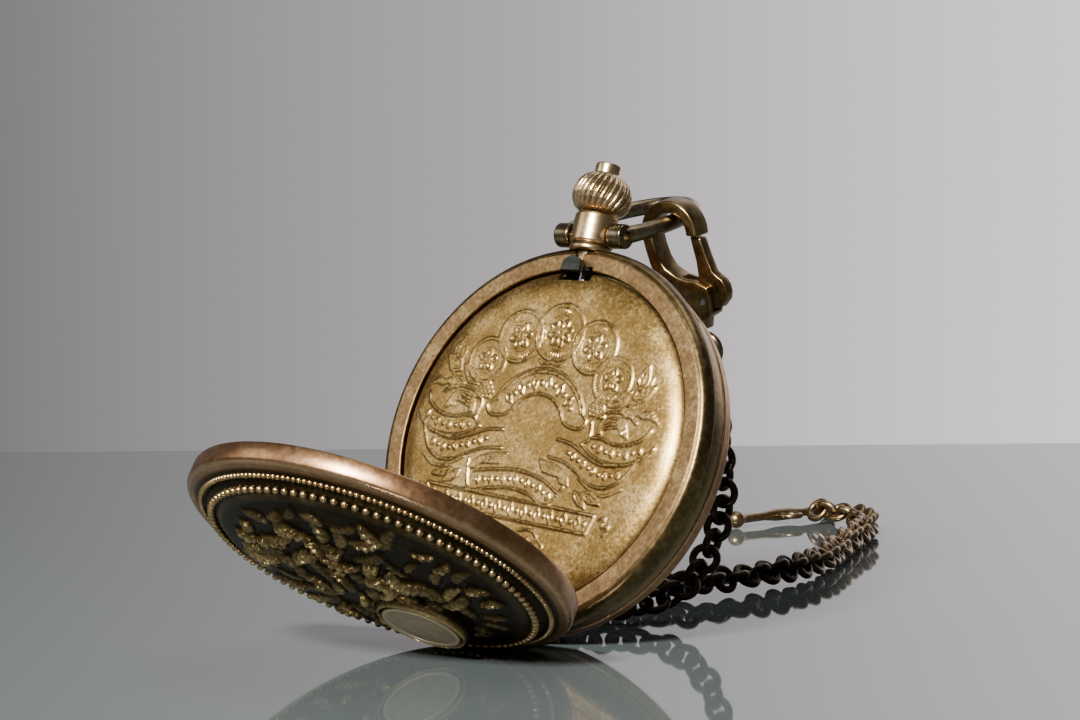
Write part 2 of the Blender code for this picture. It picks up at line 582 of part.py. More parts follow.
CENTRE = (0.0, 0.0)
BARREL_SPOT = beside(CENTRE, gap(BARREL, CENTRE_PINION), 135)
THIRD_SPOT = beside(CENTRE, gap(CENTRE_WHEEL, THIRD_PINION), -44.9)
FOURTH_SPOT = (0.0, -9.0)
ESCAPE_SPOT = beside(FOURTH_SPOT, gap(FOURTH_WHEEL, ESCAPE_PINION), 200)
PALLET_SPOT = beside(ESCAPE_SPOT, 4.6, 125)
BALANCE_SPOT = (-12.0, -5.0)
CROWN_WHEEL_SPOT = beside(BARREL_SPOT, gap(RATCHET, CROWN_WHEEL), 62)
MINUTE_SPOT = beside(CENTRE, gap(CANNON, MINUTE_WHEEL), 60)

CENTRE_PINION.mesh_with(CENTRE, BARREL, BARREL_SPOT)
THIRD_PINION.mesh_with(THIRD_SPOT, CENTRE_WHEEL, CENTRE)
FOURTH_PINION.mesh_with(FOURTH_SPOT, THIRD_WHEEL, THIRD_SPOT)
ESCAPE_PINION.mesh_with(ESCAPE_SPOT, FOURTH_WHEEL, FOURTH_SPOT)
CROWN_WHEEL.mesh_with(CROWN_WHEEL_SPOT, RATCHET, BARREL_SPOT)
MINUTE_WHEEL.mesh_with(MINUTE_SPOT, CANNON, CENTRE)
HOUR_WHEEL.mesh_with(CENTRE, MINUTE_PINION, MINUTE_SPOT)


def arbor(name, spot, gears, low, high, finish=None, radius=ARBOR_RADIUS):
    """An arbor along Y with its wheels and pinions; gears are (gear, low, high)."""
    first, *others = gears
    body = add(name, prism(first[0].outline(spot), first[1], first[2]), finish or movement_brass(), watch, 20)
    for gear, bottom, top in others:
        join(body, prism(gear.outline(spot), bottom, top))
    join(body, rod(radius, low, high, 12, "Y", (spot[0], 0, spot[1])))
    return body


BRIDGE_BOTTOM = BRIDGE_TOP + BRIDGE_THICKNESS
PLATE_BOTTOM = MAIN_PLATE_TOP + MAIN_PLATE_THICKNESS


def train():
    """Going train, from barrel to escape wheel, with the winding wheels on top."""
    pivot_low, pivot_high = BRIDGE_TOP + 0.1, PLATE_BOTTOM - 0.1
    arbor("barrel", BARREL_SPOT, [(BARREL, BRIDGE_BOTTOM + 0.15, 2.75)], BRIDGE_BOTTOM + 0.05, pivot_high, radius=0.6)
    ratchet = arbor("ratchet_wheel", BARREL_SPOT, [(RATCHET, 0.0, 0.4)], 0.0, BRIDGE_BOTTOM - 0.1, steel(), 0.5)
    wheel = arbor("crown_wheel", CROWN_WHEEL_SPOT, [(CROWN_WHEEL, 0.0, 0.4)], 0.0, BRIDGE_BOTTOM - 0.1, steel(), 0.5)
    arbor("centre_wheel", CENTRE, [(CENTRE_WHEEL, 3.0, 3.35), (CENTRE_PINION, 1.35, 2.85)], pivot_low, 5.0)
    arbor("third_wheel", THIRD_SPOT, [(THIRD_WHEEL, 1.5, 1.85), (THIRD_PINION, 2.9, 3.45)], pivot_low, pivot_high)
    arbor("fourth_wheel", FOURTH_SPOT, [(FOURTH_WHEEL, 2.3, 2.6), (FOURTH_PINION, 1.4, 2.0)], pivot_low,
          DIAL_TOP + DIAL_THICKNESS + 0.1)
    teeth = []
    for k in range(15):
        angle = 2 * pi * k / 15
        for reach, turn in ((0.72, 0.0), (0.72, 0.22), (1.0, 0.3)):
            teeth.append((ESCAPE_SPOT[0] + ESCAPE_RADIUS * reach * cos(angle + turn),
                          ESCAPE_SPOT[1] + ESCAPE_RADIUS * reach * sin(angle + turn)))
    escape = add("escape_wheel", prism(teeth, 3.0, 3.3), steel(), watch, 20)
    join(escape, prism(ESCAPE_PINION.outline(ESCAPE_SPOT), 2.2, 2.75))
    join(escape, rod(0.2, pivot_low, pivot_high, 12, "Y", (ESCAPE_SPOT[0], 0, ESCAPE_SPOT[1])))


def pallet_and_balance():
    """Pallet fork, balance wheel and hairspring."""
    to_balance = atan2(BALANCE_SPOT[1] - PALLET_SPOT[1], BALANCE_SPOT[0] - PALLET_SPOT[0])
    lever = [(0.9, -0.25), (3.6, -0.15), (3.6, 0.15), (0.9, 0.25), (0.3, 1.7), (-0.3, 1.7), (-0.45, 0.3),
             (-0.45, -0.3), (-0.3, -1.7), (0.3, -1.7)]
    turn = Matrix.Rotation(to_balance, 2)
    placed = [turn @ Vector(point) + Vector(PALLET_SPOT) for point in lever]
    fork = add("pallet_fork", prism([tuple(p) for p in placed], 3.0, 3.3), steel(), watch)
    join(fork, rod(0.2, 2.4, PLATE_BOTTOM - 0.1, 12, "Y", (PALLET_SPOT[0], 0, PALLET_SPOT[1])))

    spot = (BALANCE_SPOT[0], 0, BALANCE_SPOT[1])
    rim = [(BALANCE_RADIUS - 0.5, 1.4), (BALANCE_RADIUS, 1.4), (BALANCE_RADIUS, 1.9), (BALANCE_RADIUS - 0.5, 1.9)]
    balance = add("balance_wheel", turned(rim, 36, "Y", spot), movement_brass(), watch)
    join(balance, block((spot[0] - BALANCE_RADIUS + 0.2, 1.5, spot[2] - 0.3),
                        (spot[0] + BALANCE_RADIUS - 0.2, 1.8, spot[2] + 0.3)))
    join(balance, rod(0.22, BRIDGE_TOP + 0.1, PLATE_BOTTOM - 0.1, 12, "Y", spot))

    turns, start, pitch = 4, 0.8, 0.5
    steps = turns * 12
    curve = bpy.data.curves.new("hairspring", "CURVE")
    curve.dimensions = "3D"
    curve.bevel_depth = 0.07 * MM
    curve.bevel_resolution = 0
    curve.use_fill_caps = True
    spline = curve.splines.new("POLY")
    spline.points.add(steps)
    for k in range(steps + 1):
        angle = 2 * pi * turns * k / steps
        radius = start + pitch * angle / (2 * pi)
        spline.points[k].co = ((spot[0] + radius * cos(angle)) * MM, 2.3 * MM, (spot[2] + radius * sin(angle)) * MM, 1)
    made = bpy.data.objects.new("hairspring", curve)
    bpy.context.scene.collection.objects.link(made)
    made.parent = watch
    curve.materials.append(steel())


def plates():
    """Main plate and the bridges over the train, each standing on pillars."""
    plate = add("main_plate", rod(MAIN_PLATE_RADIUS, MAIN_PLATE_TOP, PLATE_BOTTOM, 56), movement_brass(), watch)
    for spot, radius in ((CENTRE, 0.9), (BARREL_SPOT, 0.7), (THIRD_SPOT, 0.34), (FOURTH_SPOT, 0.34),
                         (ESCAPE_SPOT, 0.3), (PALLET_SPOT, 0.3), (BALANCE_SPOT, 0.32)):
        cut(plate, rod(radius, MAIN_PLATE_TOP - 1, PLATE_BOTTOM + 1, 12, "Y", (spot[0], 0, spot[1])))
    layouts = {
        "barrel_bridge": ([(-13.5, 3.5), (-13.0, 9.0), (-8.5, 13.2), (-1.0, 14.6), (1.6, 12.6), (2.4, 4.0),
                           (2.0, -1.3), (-2.0, -1.6), (-8.0, -0.6)],
                          ((BARREL_SPOT, 0.6), (CENTRE, 0.34), (CROWN_WHEEL_SPOT, 0.6)),
                          ((-13.0, 6.6), (1.4, 11.2))),
        "train_bridge": ([(3.0, -2.2), (9.6, -3.0), (12.6, -8.6), (6.0, -14.6), (-6.4, -14.6), (-6.2, -9.3),
                          (-2.0, -7.0)],
                         ((THIRD_SPOT, 0.34), (FOURTH_SPOT, 0.34), (ESCAPE_SPOT, 0.3)),
                         ((11.6, -9.2), (1.5, -14.0))),
        "balance_cock": ([(-11.0, -3.8), (-11.2, -6.2), (-17.2, -8.4), (-18.2, -5.0), (-17.2, -3.4)],
                         ((BALANCE_SPOT, 0.32),), ((-17.4, -5.6),)),
    }
    for name, (outline, holes, pillars) in layouts.items():
        bridge = add(name, prism(outline, BRIDGE_TOP, BRIDGE_BOTTOM), movement_brass(), watch)
        for spot in pillars:
            join(bridge, rod(0.5, BRIDGE_BOTTOM - 0.2, MAIN_PLATE_TOP - SEAT_GAP, 12, "Y", (spot[0], 0, spot[1])))
        for spot, radius in holes:
            cut(bridge, rod(radius, BRIDGE_TOP - 1, BRIDGE_BOTTOM + 1, 12, "Y", (spot[0], 0, spot[1])))


def motion_work():
    """Cannon pinion, minute wheel and hour wheel between the main plate and the dial."""
    bore = ARBOR_RADIUS + SLIP_GAP
    low = PLATE_BOTTOM + 0.1
    cannon = add("cannon_pinion", prism(CANNON.outline(CENTRE), low + 0.1, low + 0.4), steel(), watch, 20)
    join(cannon, rod(0.5, low + 0.1, 7.05, 16))
    cut(cannon, rod(bore, low - 1, 5.1, 12))
    wheel = add("minute_wheel", prism(MINUTE_WHEEL.outline(MINUTE_SPOT), low + 0.1, low + 0.4), movement_brass(), watch)
    join(wheel, prism(MINUTE_PINION.outline(MINUTE_SPOT), low + 0.3, low + 0.9))
    hour = add("hour_wheel", prism(HOUR_WHEEL.outline(CENTRE), low + 0.55, low + 0.85), movement_brass(), watch)
    join(hour, rod(0.85, low + 0.55, 6.62, 16))
    cut(hour, rod(0.5 + SLIP_GAP, low, 8, 16))


def dial_and_hands():
    """Dial with holes for the hand posts, and three hands."""
    low, high = DIAL_TOP, DIAL_TOP + DIAL_THICKNESS
    dial = add("dial", rod(DIAL_RADIUS, low, high, 56), material("dial", (0.9, 0.89, 0.85), 0.4, 0.0), watch)
    cut(dial, rod(0.85 + 0.1, low - 1, high + 1, 16))
    cut(dial, rod(ARBOR_RADIUS + 0.1, low - 1, high + 1, 12, "Y", (FOURTH_SPOT[0], 0, FOURTH_SPOT[1])))
    layouts = (
        ("hour_hand", CENTRE, HAND_HOUR_LENGTH, 0.9, 6.45, 6.6, 1.5, 0.85, -60.0),
        ("minute_hand", CENTRE, HAND_MINUTE_LENGTH, 0.7, 6.8, 6.95, 1.0, 0.5, 54.0),
        ("seconds_hand", FOURTH_SPOT, HAND_SECONDS_LENGTH, 0.35, 6.28, 6.36, 0.6, ARBOR_RADIUS, 160.0),
    )
    for name, spot, length, width, low, high, hub, post, turn in layouts:
        blade = [(-0.18, 0.0), (-width / 2, 0.6 * length), (0.0, length), (width / 2, 0.6 * length), (0.18, 0.0)]
        spin = Matrix.Rotation(radians(-turn), 2)
        placed = [tuple(spin @ Vector(point) + Vector(spot)) for point in blade]
        hand = add(name, prism(placed, low, high), material("blued_steel", (0.05, 0.06, 0.16), 0.3, 1.0), watch)
        join(hand, rod(hub, low, high, 20, "Y", (spot[0], 0, spot[1])))
        cut(hand, rod(post + SLIP_GAP, low - 1, high + 1, 16, "Y", (spot[0], 0, spot[1])))


# ---- clasp and chain --------------------------------------------------------------------------
def clasp_frame():
    """Frame at the hook's arc centre: X across the clasp, Y through it, Z up its length."""
    down = Vector((CLASP_LEAN[0], CLASP_LEAN[1], -1)).normalized()
    through = (Vector((0, 1, 0)) - down * down.y).normalized()
    across = through.cross(-down)
    turn = Matrix((across, through, -down)).transposed()
    angle = radians(BOW_BACK_DEG) + LEAN
    best = min((bow_point(k / 400) for k in range(60, 200)), key=lambda p: abs(p.z - CLASP_BOW_POINT))
    pivot_y = PENDANT_DEPTH * cos(LEAN) + BOW_PIVOT * sin(LEAN)
    pivot_z = CENTRE_HEIGHT - PENDANT_DEPTH * sin(LEAN) + BOW_PIVOT * cos(LEAN)
    wire = Vector((abs(best.x), pivot_y + best.z * sin(angle), pivot_z + best.z * cos(angle)))
    inner = CLASP_HALF_WIDTH - CLASP_WALL
    below = inner - BOW_WIRE_RADIUS - SEAT_GAP
    spot = wire + down * below - across * 0.4
    return spot, turn


CLASP_SPOT, CLASP_TURN = clasp_frame()
clasp = empty("clasp", stand, CLASP_SPOT, CLASP_TURN.to_euler())
PIVOT_SPOT = (2.35, -9.2)


def clasp_pieces():
    """Trigger clasp: hook and body, sprung gate on a pin, and a swivel eye."""
    half, wall, thick = CLASP_HALF_WIDTH, CLASP_WALL, CLASP_THICKNESS
    inner = half - wall
    outer_points = arc((0, 0), half, -18, 180, 14)
    outer_points += [(-half, -3.0), (-half + 0.5, -6.0), (-half + 1.5, -9.0), (-1.5, -CLASP_LENGTH + half + 1.2),
                     (-1.0, -CLASP_LENGTH + half), (1.0, -CLASP_LENGTH + half), (1.5, -CLASP_LENGTH + half + 1.2),
                     (3.3, -10.6), (3.6, -7.6)]
    inner_points = [(1.9, -6.4), (-0.6, -5.2), (-inner + 0.5, -3.6), (-inner, -2.0)]
    inner_points += arc((0, 0), inner, 180, -18, 10)
    body = add("clasp_body", prism(outer_points + inner_points, -thick / 2, thick / 2), dark_bronze(), clasp)
    rounding = body.modifiers.new("rounding", "BEVEL")
    rounding.width = 0.35 * MM
    rounding.segments = 1
    rounding.limit_method = "ANGLE"
    slot = GATE_THICKNESS / 2 + 0.1
    cut(body, block((-0.2, -slot, -10.7), (6, slot, -1.9)))
    spot = (PIVOT_SPOT[0], 0, PIVOT_SPOT[1])
    cut(body, rod(0.4 + SLIP_GAP, -thick, thick, 12, "Y", spot))
    cut(body, rod(0.5 + SLIP_GAP, -CLASP_LENGTH, -CLASP_LENGTH + half + 1.6, 12, "Z"))

    gate_outline = [
        (inner + 0.1, -1.75), (half - 0.25, -1.75), (half + 0.35, -6.0), (half + 1.5, -7.2), (half + 1.6, -9.2),
        (half + 0.2, -10.4), (1.4, -10.2), (1.1, -9.0), (2.1, -7.0),
    ]
    gate = add("clasp_gate", prism(gate_outline, -GATE_THICKNESS / 2, GATE_THICKNESS / 2), dark_bronze(), clasp)
    cut(gate, rod(0.4 + SLIP_GAP, -thick, thick, 12, "Y", spot))
    add("clasp_gate_pin", rod(0.4, -thick / 2 + 0.1, thick / 2 - 0.1, 12, "Y", spot), steel(), clasp)

    eye_top = -CLASP_LENGTH + half
    eye = (0, 0, eye_top - 2.5)
    ring = [(1.9 + 0.5 * cos(radians(a)), 0.5 * sin(radians(a))) for a in range(0, 360, 60)]
    swivel = add("clasp_swivel", turned(ring, 20, "Y", eye), dark_bronze(), clasp)
    join(swivel, rod(0.5, eye_top - 0.9, eye_top + 1.0, 12, "Z"))


def smooth_route(points, step):
    """Points evenly spaced along a smooth curve through the route's own points."""
    knots = [Vector(p) for p in points]
    ends = [2 * knots[0] - knots[1]] + knots + [2 * knots[-1] - knots[-2]]
    fine = []
    for a, b, c, d in zip(ends, ends[1:], ends[2:], ends[3:]):
        for k in range(24):
            t = k / 24
            fine.append(0.5 * ((2 * b) + (c - a) * t + (2 * a - 5 * b + 4 * c - d) * t ** 2
                               + (3 * b - a - 3 * c + d) * t ** 3))
    fine.append(knots[-1])
    lengths = [0.0]
    for a, b in zip(fine, fine[1:]):
        lengths.append(lengths[-1] + (b - a).length)
    count = max(2, round(lengths[-1] / step))
    placed, k = [], 0
    for j in range(count + 1):
        goal = lengths[-1] * j / count
        while k < len(fine) - 2 and lengths[k + 1] < goal:
            k += 1
        share = (goal - lengths[k]) / (lengths[k + 1] - lengths[k])
        placed.append(fine[k].lerp(fine[k + 1], min(1.0, share)))
    return placed


def chain():
    """The chain's outer shape as a plain tube, and the bar at its end."""
    points = smooth_route(CHAIN_ROUTE, CHAIN_STEP)
    curve = bpy.data.curves.new("chain", "CURVE")
    curve.dimensions = "3D"
    curve.bevel_depth = CHAIN_RADIUS * MM
    curve.bevel_resolution = 2
    curve.use_fill_caps = True
    spline = curve.splines.new("POLY")
    spline.points.add(len(points) - 1)
    for slot, point in zip(spline.points, points):
        slot.co = (*(point * MM), 1)
    made = bpy.data.objects.new("chain", curve)
    bpy.context.scene.collection.objects.link(made)
    made.parent = stand
    curve.materials.append(dark_bronze())

    direction = Vector((*BAR_DIRECTION, 0)).normalized()
    frame = empty("bar_frame", stand, (*BAR_CENTRE, BAR_BALL + 0.05), (0, 0, atan2(direction.y, direction.x)))
    half = BAR_LENGTH / 2
    outline = [(0, -half - BAR_BALL), (0.9, -half - 1.0), (BAR_BALL, -half), (0.9, -half + 1.0),
               (BAR_RADIUS, -half + 1.2), (BAR_RADIUS, half - 1.2), (0.9, half - 1.0), (BAR_BALL, half),
               (0.9, half + 1.0), (0, half + BAR_BALL)]
    bar = add("t_bar", turned(outline, 16, "X"), dark_bronze(), frame)
    ring = [(1.45 + 0.4 * cos(radians(a)), 0.4 * sin(radians(a))) for a in range(0, 360, 60)]
    join(bar, turned(ring, 16, "Z", (0, 1.9, 0)))


# ---- build ------------------------------------------------------------------------------------
case_band()
bezel()
crystal()
dust_cover()
hinge_pin()
back_cover()
latch()
pendant()
crown()
push_button()
stem()
bow()
train()
pallet_and_balance()
plates()
motion_work()
dial_and_hands()
clasp_pieces()
chain()

# The origin is the middle of the watch's own box, without the chain and what hangs on it.
CORD = {"chain", "t_bar", "clasp_body", "clasp_gate", "clasp_gate_pin", "clasp_swivel"}
bpy.context.view_layer.update()
graph = bpy.context.evaluated_depsgraph_get()
depths = []
for item in bpy.context.scene.objects:
    if item.type == "MESH" and not item.hide_render and item.name not in CORD:
        shaped = item.evaluated_get(graph)
        depths += [(shaped.matrix_world @ vert.co).y for vert in shaped.data.vertices]
stand.location.y = -(min(depths) + max(depths)) / 2
bpy.context.view_layer.update()
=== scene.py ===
"""Antique pocket watch with an open relief cover, engraved dust cover, crown, bow, clasp and chain.

Sizes are in millimetres inside the classes; loose() turns them into metres in the row's frame.
"""
import json
import logging
from dataclasses import dataclass, field
from enum import Enum
from math import atan2, cos, pi, radians, sin, sqrt
from typing import Callable, Sequence

import bmesh
import bpy
import numpy as np
from mathutils import Matrix, Vector


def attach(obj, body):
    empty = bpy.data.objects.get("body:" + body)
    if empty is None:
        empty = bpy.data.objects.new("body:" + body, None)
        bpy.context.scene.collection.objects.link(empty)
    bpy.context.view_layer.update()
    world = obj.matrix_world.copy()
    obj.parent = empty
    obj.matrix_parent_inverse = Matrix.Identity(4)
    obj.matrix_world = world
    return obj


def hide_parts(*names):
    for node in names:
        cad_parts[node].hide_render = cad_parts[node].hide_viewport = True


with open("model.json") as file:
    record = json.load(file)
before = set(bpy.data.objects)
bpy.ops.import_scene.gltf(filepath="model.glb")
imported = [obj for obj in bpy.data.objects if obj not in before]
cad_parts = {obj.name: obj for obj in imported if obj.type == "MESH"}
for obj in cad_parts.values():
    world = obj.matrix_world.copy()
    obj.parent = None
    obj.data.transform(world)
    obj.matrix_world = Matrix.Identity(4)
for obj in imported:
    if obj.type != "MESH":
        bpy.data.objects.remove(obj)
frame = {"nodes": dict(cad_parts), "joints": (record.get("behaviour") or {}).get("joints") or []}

LOG = logging.getLogger("pocket_watch")
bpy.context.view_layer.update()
MM = 0.001
Point2 = tuple[float, float]
Point3 = tuple[float, float, float]
Colour = tuple[float, float, float]


class Axis(Enum):
    """Axis that a profile is turned about."""

    X = (1.0, 0.0, 0.0)
    Y = (0.0, 1.0, 0.0)
    Z = (0.0, 0.0, 1.0)


# ---- shader expressions ---------------------------------------------------------------------
@dataclass(frozen=True)
class Term:
    """A shader socket that takes part in Python arithmetic."""

    maker: "Shader"
    socket: bpy.types.NodeSocket

    def __add__(self, other: "Value") -> "Term":
        """Add a number or a term."""
        return self.maker.math("ADD", self, other)

    __radd__ = __add__

    def __sub__(self, other: "Value") -> "Term":
        """Subtract a number or a term."""
        return self.maker.math("SUBTRACT", self, other)

    def __rsub__(self, other: "Value") -> "Term":
        """Subtract this term from a number."""
        return self.maker.math("SUBTRACT", other, self)

    def __mul__(self, other: "Value") -> "Term":
        """Multiply by a number or a term."""
        return self.maker.math("MULTIPLY", self, other)

    __rmul__ = __mul__

    def clamped(self) -> "Term":
        """Hold the term between 0 and 1."""
        return self.maker.math("ADD", self, 0.0, clamp=True)

    def above(self, low: float, high: float) -> "Term":
        """Ramp from 0 at low to 1 at high.

        Args:
            low: Value that gives 0.
            high: Value that gives 1.

        Returns:
            A smooth term between 0 and 1.
        """
        made = self.maker.make("ShaderNodeMapRange", {"interpolation_type": "SMOOTHSTEP"},
                               {"Value": self, "From Min": low, "From Max": high})
        return Term(self.maker, made.outputs["Result"])


Value = Term | float


class Shader:
    """Builds the nodes of one material round its Principled BSDF."""

    def __init__(self, name: str) -> None:
        """Start an empty material.

        Args:
            name: Name of the material.
        """
        self.material = bpy.data.materials.new(name)
        self.material.use_nodes = True
        self.tree = self.material.node_tree
        self.surface = self.tree.nodes["Principled BSDF"]

    def make(self, kind: str, settings: dict[str, object] | None = None,
             values: dict[str | int, object] | None = None) -> bpy.types.Node:
        """Add a node.

        Args:
            kind: Node type.
            settings: Node properties, set before the sockets; "stops" fills a colour ramp.
            values: Numbers, colours or terms for the node's input sockets.

        Returns:
            The node.
        """
        node = self.tree.nodes.new(kind)
        for key, value in (settings or {}).items():
            if key == "stops":
                ramp = node.color_ramp
                while len(ramp.elements) < len(value):
                    ramp.elements.new(0.5)
                for stop, (place, colour) in zip(ramp.elements, value):
                    stop.position = place
                    stop.color = (*colour, 1.0)
            else:
                setattr(node, key, value)
        for key, value in (values or {}).items():
            self.feed(node.inputs[key], value)
        return node

    def feed(self, socket: bpy.types.NodeSocket, value: object) -> None:
        """Link a term to a socket, or set the socket's own value."""
        if isinstance(value, Term):
            self.tree.links.new(value.socket, socket)
        else:
            socket.default_value = value

    def math(self, operation: str, first: Value, second: Value, clamp: bool = False) -> Term:
        """Add a Math node and give its result."""
        node = self.make("ShaderNodeMath", {"operation": operation, "use_clamp": clamp},
                         {0: first, 1: second})
        return Term(self, node.outputs[0])

    def place(self, scale: Point3 = (1000.0, 1000.0, 1000.0)) -> Term:
        """Object coordinates, scaled; the default gives millimetres."""
        coords = self.make("ShaderNodeTexCoord")
        mapped = self.make("ShaderNodeMapping", {"vector_type": "POINT"},
                           {"Vector": Term(self, coords.outputs["Object"]), "Scale": scale})
        return Term(self, mapped.outputs["Vector"])

    def noise(self, where: Term, scale: float, detail: float = 4.0, rough: float = 0.6) -> Term:
        """Noise between 0 and 1.

        Args:
            where: Coordinates.
            scale: Waves per unit of the coordinates.
            detail: Number of finer layers.
            rough: Strength of the finer layers.

        Returns:
            The noise value.
        """
        node = self.make("ShaderNodeTexNoise", {}, {"Vector": where, "Scale": scale, "Detail": detail,
                                                    "Roughness": rough})
        return Term(self, node.outputs[0])

    def attribute(self, name: str) -> Term:
        """A number stored on the mesh."""
        node = self.make("ShaderNodeAttribute", {"attribute_name": name})
        return Term(self, node.outputs["Fac"])

    def ramp(self, value: Term, stops: Sequence[tuple[float, Colour]]) -> Term:
        """Colour ramp over a value."""
        node = self.make("ShaderNodeValToRGB", {"stops": stops}, {"Fac": value})
        return Term(self, node.outputs["Color"])

    def blend(self, factor: Term, first: object, second: object) -> Term:
        """Mix two colours, each a term or three numbers."""
        node = self.make("ShaderNodeMix", {"data_type": "RGBA"}, {0: factor})
        for index, value in ((6, first), (7, second)):
            self.feed(node.inputs[index], value if isinstance(value, Term) else (*value, 1.0))
        return Term(self, node.outputs[2])

    def bumped(self, height: Term, distance: float, strength: float = 1.0) -> None:
        """Feed a bump of the given depth, in metres, to the surface's normal."""
        node = self.make("ShaderNodeBump", {}, {"Height": height, "Distance": distance, "Strength": strength})
        self.feed(self.surface.inputs["Normal"], Term(self, node.outputs["Normal"]))


# ---- finishes -------------------------------------------------------------------------------
@dataclass(frozen=True)
class AgedMetal:
    """Worn metal: mottled tone, dark patina in recesses, brighter raised edges, fine scratches, and an optional
    painted shade that darkens the colour below a span of Y.

    The mesh attribute "wear" is 1 on raised edges and -1 in recesses.
    """

    name: str
    slot: str
    deep: Colour
    tone: Colour
    bright: Colour
    roughness: float = 0.4
    mottle: float = 0.5
    spots: float = 0.25
    grain: float = 1.6
    patina: Colour = (0.03, 0.02, 0.012)
    # Span of object Y, in millimetres, below which painted shade pulls the colour towards the patina colour.
    fade: tuple[float, float] | None = None

    def material(self) -> bpy.types.Material:
        """Build the material.

        Returns:
            The finished material.
        """
        made = Shader(self.name)
        where = made.place()
        broad = made.noise(where, 0.22, 3.0)
        fine = made.noise(where, self.grain, 6.0, 0.7)
        specks = made.noise(where, 3.4, 2.0, 0.5)
        wear = made.attribute("wear")
        spread = 0.28 / (0.4 + self.mottle)
        cloud = (broad * 0.45 + fine * 0.55).above(0.5 - spread, 0.5 + spread)
        colour = made.ramp(cloud, ((0.0, self.deep), (0.5, self.tone), (1.0, self.bright)))
        raised = (wear + fine * 0.5 - 0.25).above(0.15, 0.95)
        colour = made.blend(raised * 0.75, colour, self.bright)
        hollow = (0.0 - wear + (fine - 0.5) * 0.5).above(0.08, 0.85)
        speckle = (specks - 0.5 + (broad - 0.5) * 0.4).above(0.1, 0.24) * self.spots
        colour = made.blend((hollow * 0.92 + speckle).clamped(), colour, self.patina)
        # Painted shade: below the fade span the colour is darkened towards the patina colour.
        if self.fade is not None:
            axis = made.make("ShaderNodeSeparateXYZ", {}, {0: where})
            near = 1.0 - Term(made, axis.outputs["Y"]).above(*self.fade)
            colour = made.blend(near * 0.85, colour, self.patina)
        made.feed(made.surface.inputs["Base Color"], colour)
        made.surface.inputs["Metallic"].default_value = 1.0
        rough = (self.roughness - 0.08 + fine * 0.12 + broad * 0.06 + hollow * 0.2 - raised * 0.06).clamped()
        made.feed(made.surface.inputs["Roughness"], rough)
        made.bumped(fine * 0.6 + specks * 0.4, 0.00003, 0.55)
        return made.material


@dataclass(frozen=True)
class TurnedMetal:
    """Machined movement metal with fine lines along one axis."""

    name: str
    colour: Colour
    roughness: float = 0.25

    def material(self) -> bpy.types.Material:
        """Build the material.

        Returns:
            The finished material.
        """
        made = Shader(self.name)
        lines = made.noise(made.place((4000.0, 600.0, 600.0)), 1.0, 3.0)
        cloud = made.noise(made.place(), 0.5, 3.0)
        dark = tuple(0.72 * value for value in self.colour)
        colour = made.blend(cloud.above(0.3, 0.7), dark, self.colour)
        made.feed(made.surface.inputs["Base Color"], colour)
        made.surface.inputs["Metallic"].default_value = 1.0
        made.feed(made.surface.inputs["Roughness"], self.roughness + lines * 0.14)
        made.bumped(lines, 0.00001, 0.4)
        return made.material


@dataclass(frozen=True)
class Enamel:
    """Fired enamel with a faint warm unevenness."""

    name: str
    colour: Colour

    def material(self) -> bpy.types.Material:
        """Build the material.

        Returns:
            The finished material.
        """
        made = Shader(self.name)
        cloud = made.noise(made.place(), 0.12, 4.0)
        warm = tuple(value * shade for value, shade in zip(self.colour, (0.93, 0.9, 0.82)))
        made.feed(made.surface.inputs["Base Color"], made.blend(cloud.above(0.35, 0.75), self.colour, warm))
        made.feed(made.surface.inputs["Roughness"], 0.2 + cloud * 0.12)
        made.surface.inputs["Coat Weight"].default_value = 0.4
        return made.material


@dataclass(frozen=True)
class WatchGlass:
    """Clear crystal with faint wiping marks."""

    name: str = "crystal_glass"

    def material(self) -> bpy.types.Material:
        """Build the material.

        Returns:
            The finished material.
        """
        made = Shader(self.name)
        smear = made.noise(made.place((300.0, 1200.0, 300.0)), 0.3, 3.0)
        made.surface.inputs["Base Color"].default_value = (0.97, 0.98, 0.98, 1.0)
        made.surface.inputs["IOR"].default_value = 1.5
        made.surface.inputs["Transmission Weight"].default_value = 1.0
        made.feed(made.surface.inputs["Roughness"], 0.01 + smear * 0.04)
        return made.material


Finish = AgedMetal | TurnedMetal | Enamel | WatchGlass

COVER_BRASS = AgedMetal("cover_brass", "antique_brass", (0.20, 0.115, 0.03), (0.36, 0.225, 0.069),
                        (0.70, 0.49, 0.20), 0.36, 1.25, 0.7, 2.3, (0.085, 0.05, 0.028))
RING_BRASS = AgedMetal("ring_brass", "antique_brass", (0.12, 0.07, 0.029), (0.23, 0.14, 0.06),
                       (0.52, 0.35, 0.17), 0.38, 0.9, 0.6, 1.8, (0.10, 0.058, 0.034))
# Painted shade: a darker copy of the ring's brass for the half-round band of the same piece, standing in for the shade
# on its side.
BAND_SHADE_BRASS = AgedMetal("band_brass_painted_shade", "antique_brass", (0.055, 0.036, 0.014), (0.145, 0.098, 0.04),
                       (0.40, 0.28, 0.13), 0.30, 0.4, 0.25, 1.1, (0.02, 0.014, 0.008))
CROWN_BRASS = AgedMetal("crown_brass", "antique_brass", (0.32, 0.215, 0.10), (0.56, 0.40, 0.215),
                        (0.80, 0.63, 0.39), 0.28, 0.3, 0.1, 1.6, (0.05, 0.03, 0.014))
LID_COPPER = AgedMetal("lid_copper", "copper_brass", (0.20, 0.095, 0.04), (0.39, 0.21, 0.10),
                       (0.68, 0.44, 0.26), 0.31, 0.4, 0.18, 1.1, (0.04, 0.022, 0.012))
RELIEF_BRASS = AgedMetal("relief_brass", "copper_brass", (0.07, 0.042, 0.014), (0.22, 0.14, 0.05),
                         (0.80, 0.58, 0.27), 0.27, 0.5, 0.2, 1.5, (0.014, 0.009, 0.004))
BEAD_BRASS = AgedMetal("bead_brass", "copper_brass", (0.30, 0.19, 0.08), (0.50, 0.34, 0.16),
                       (0.78, 0.58, 0.32), 0.30, 0.4, 0.1, 1.6, (0.05, 0.03, 0.015))
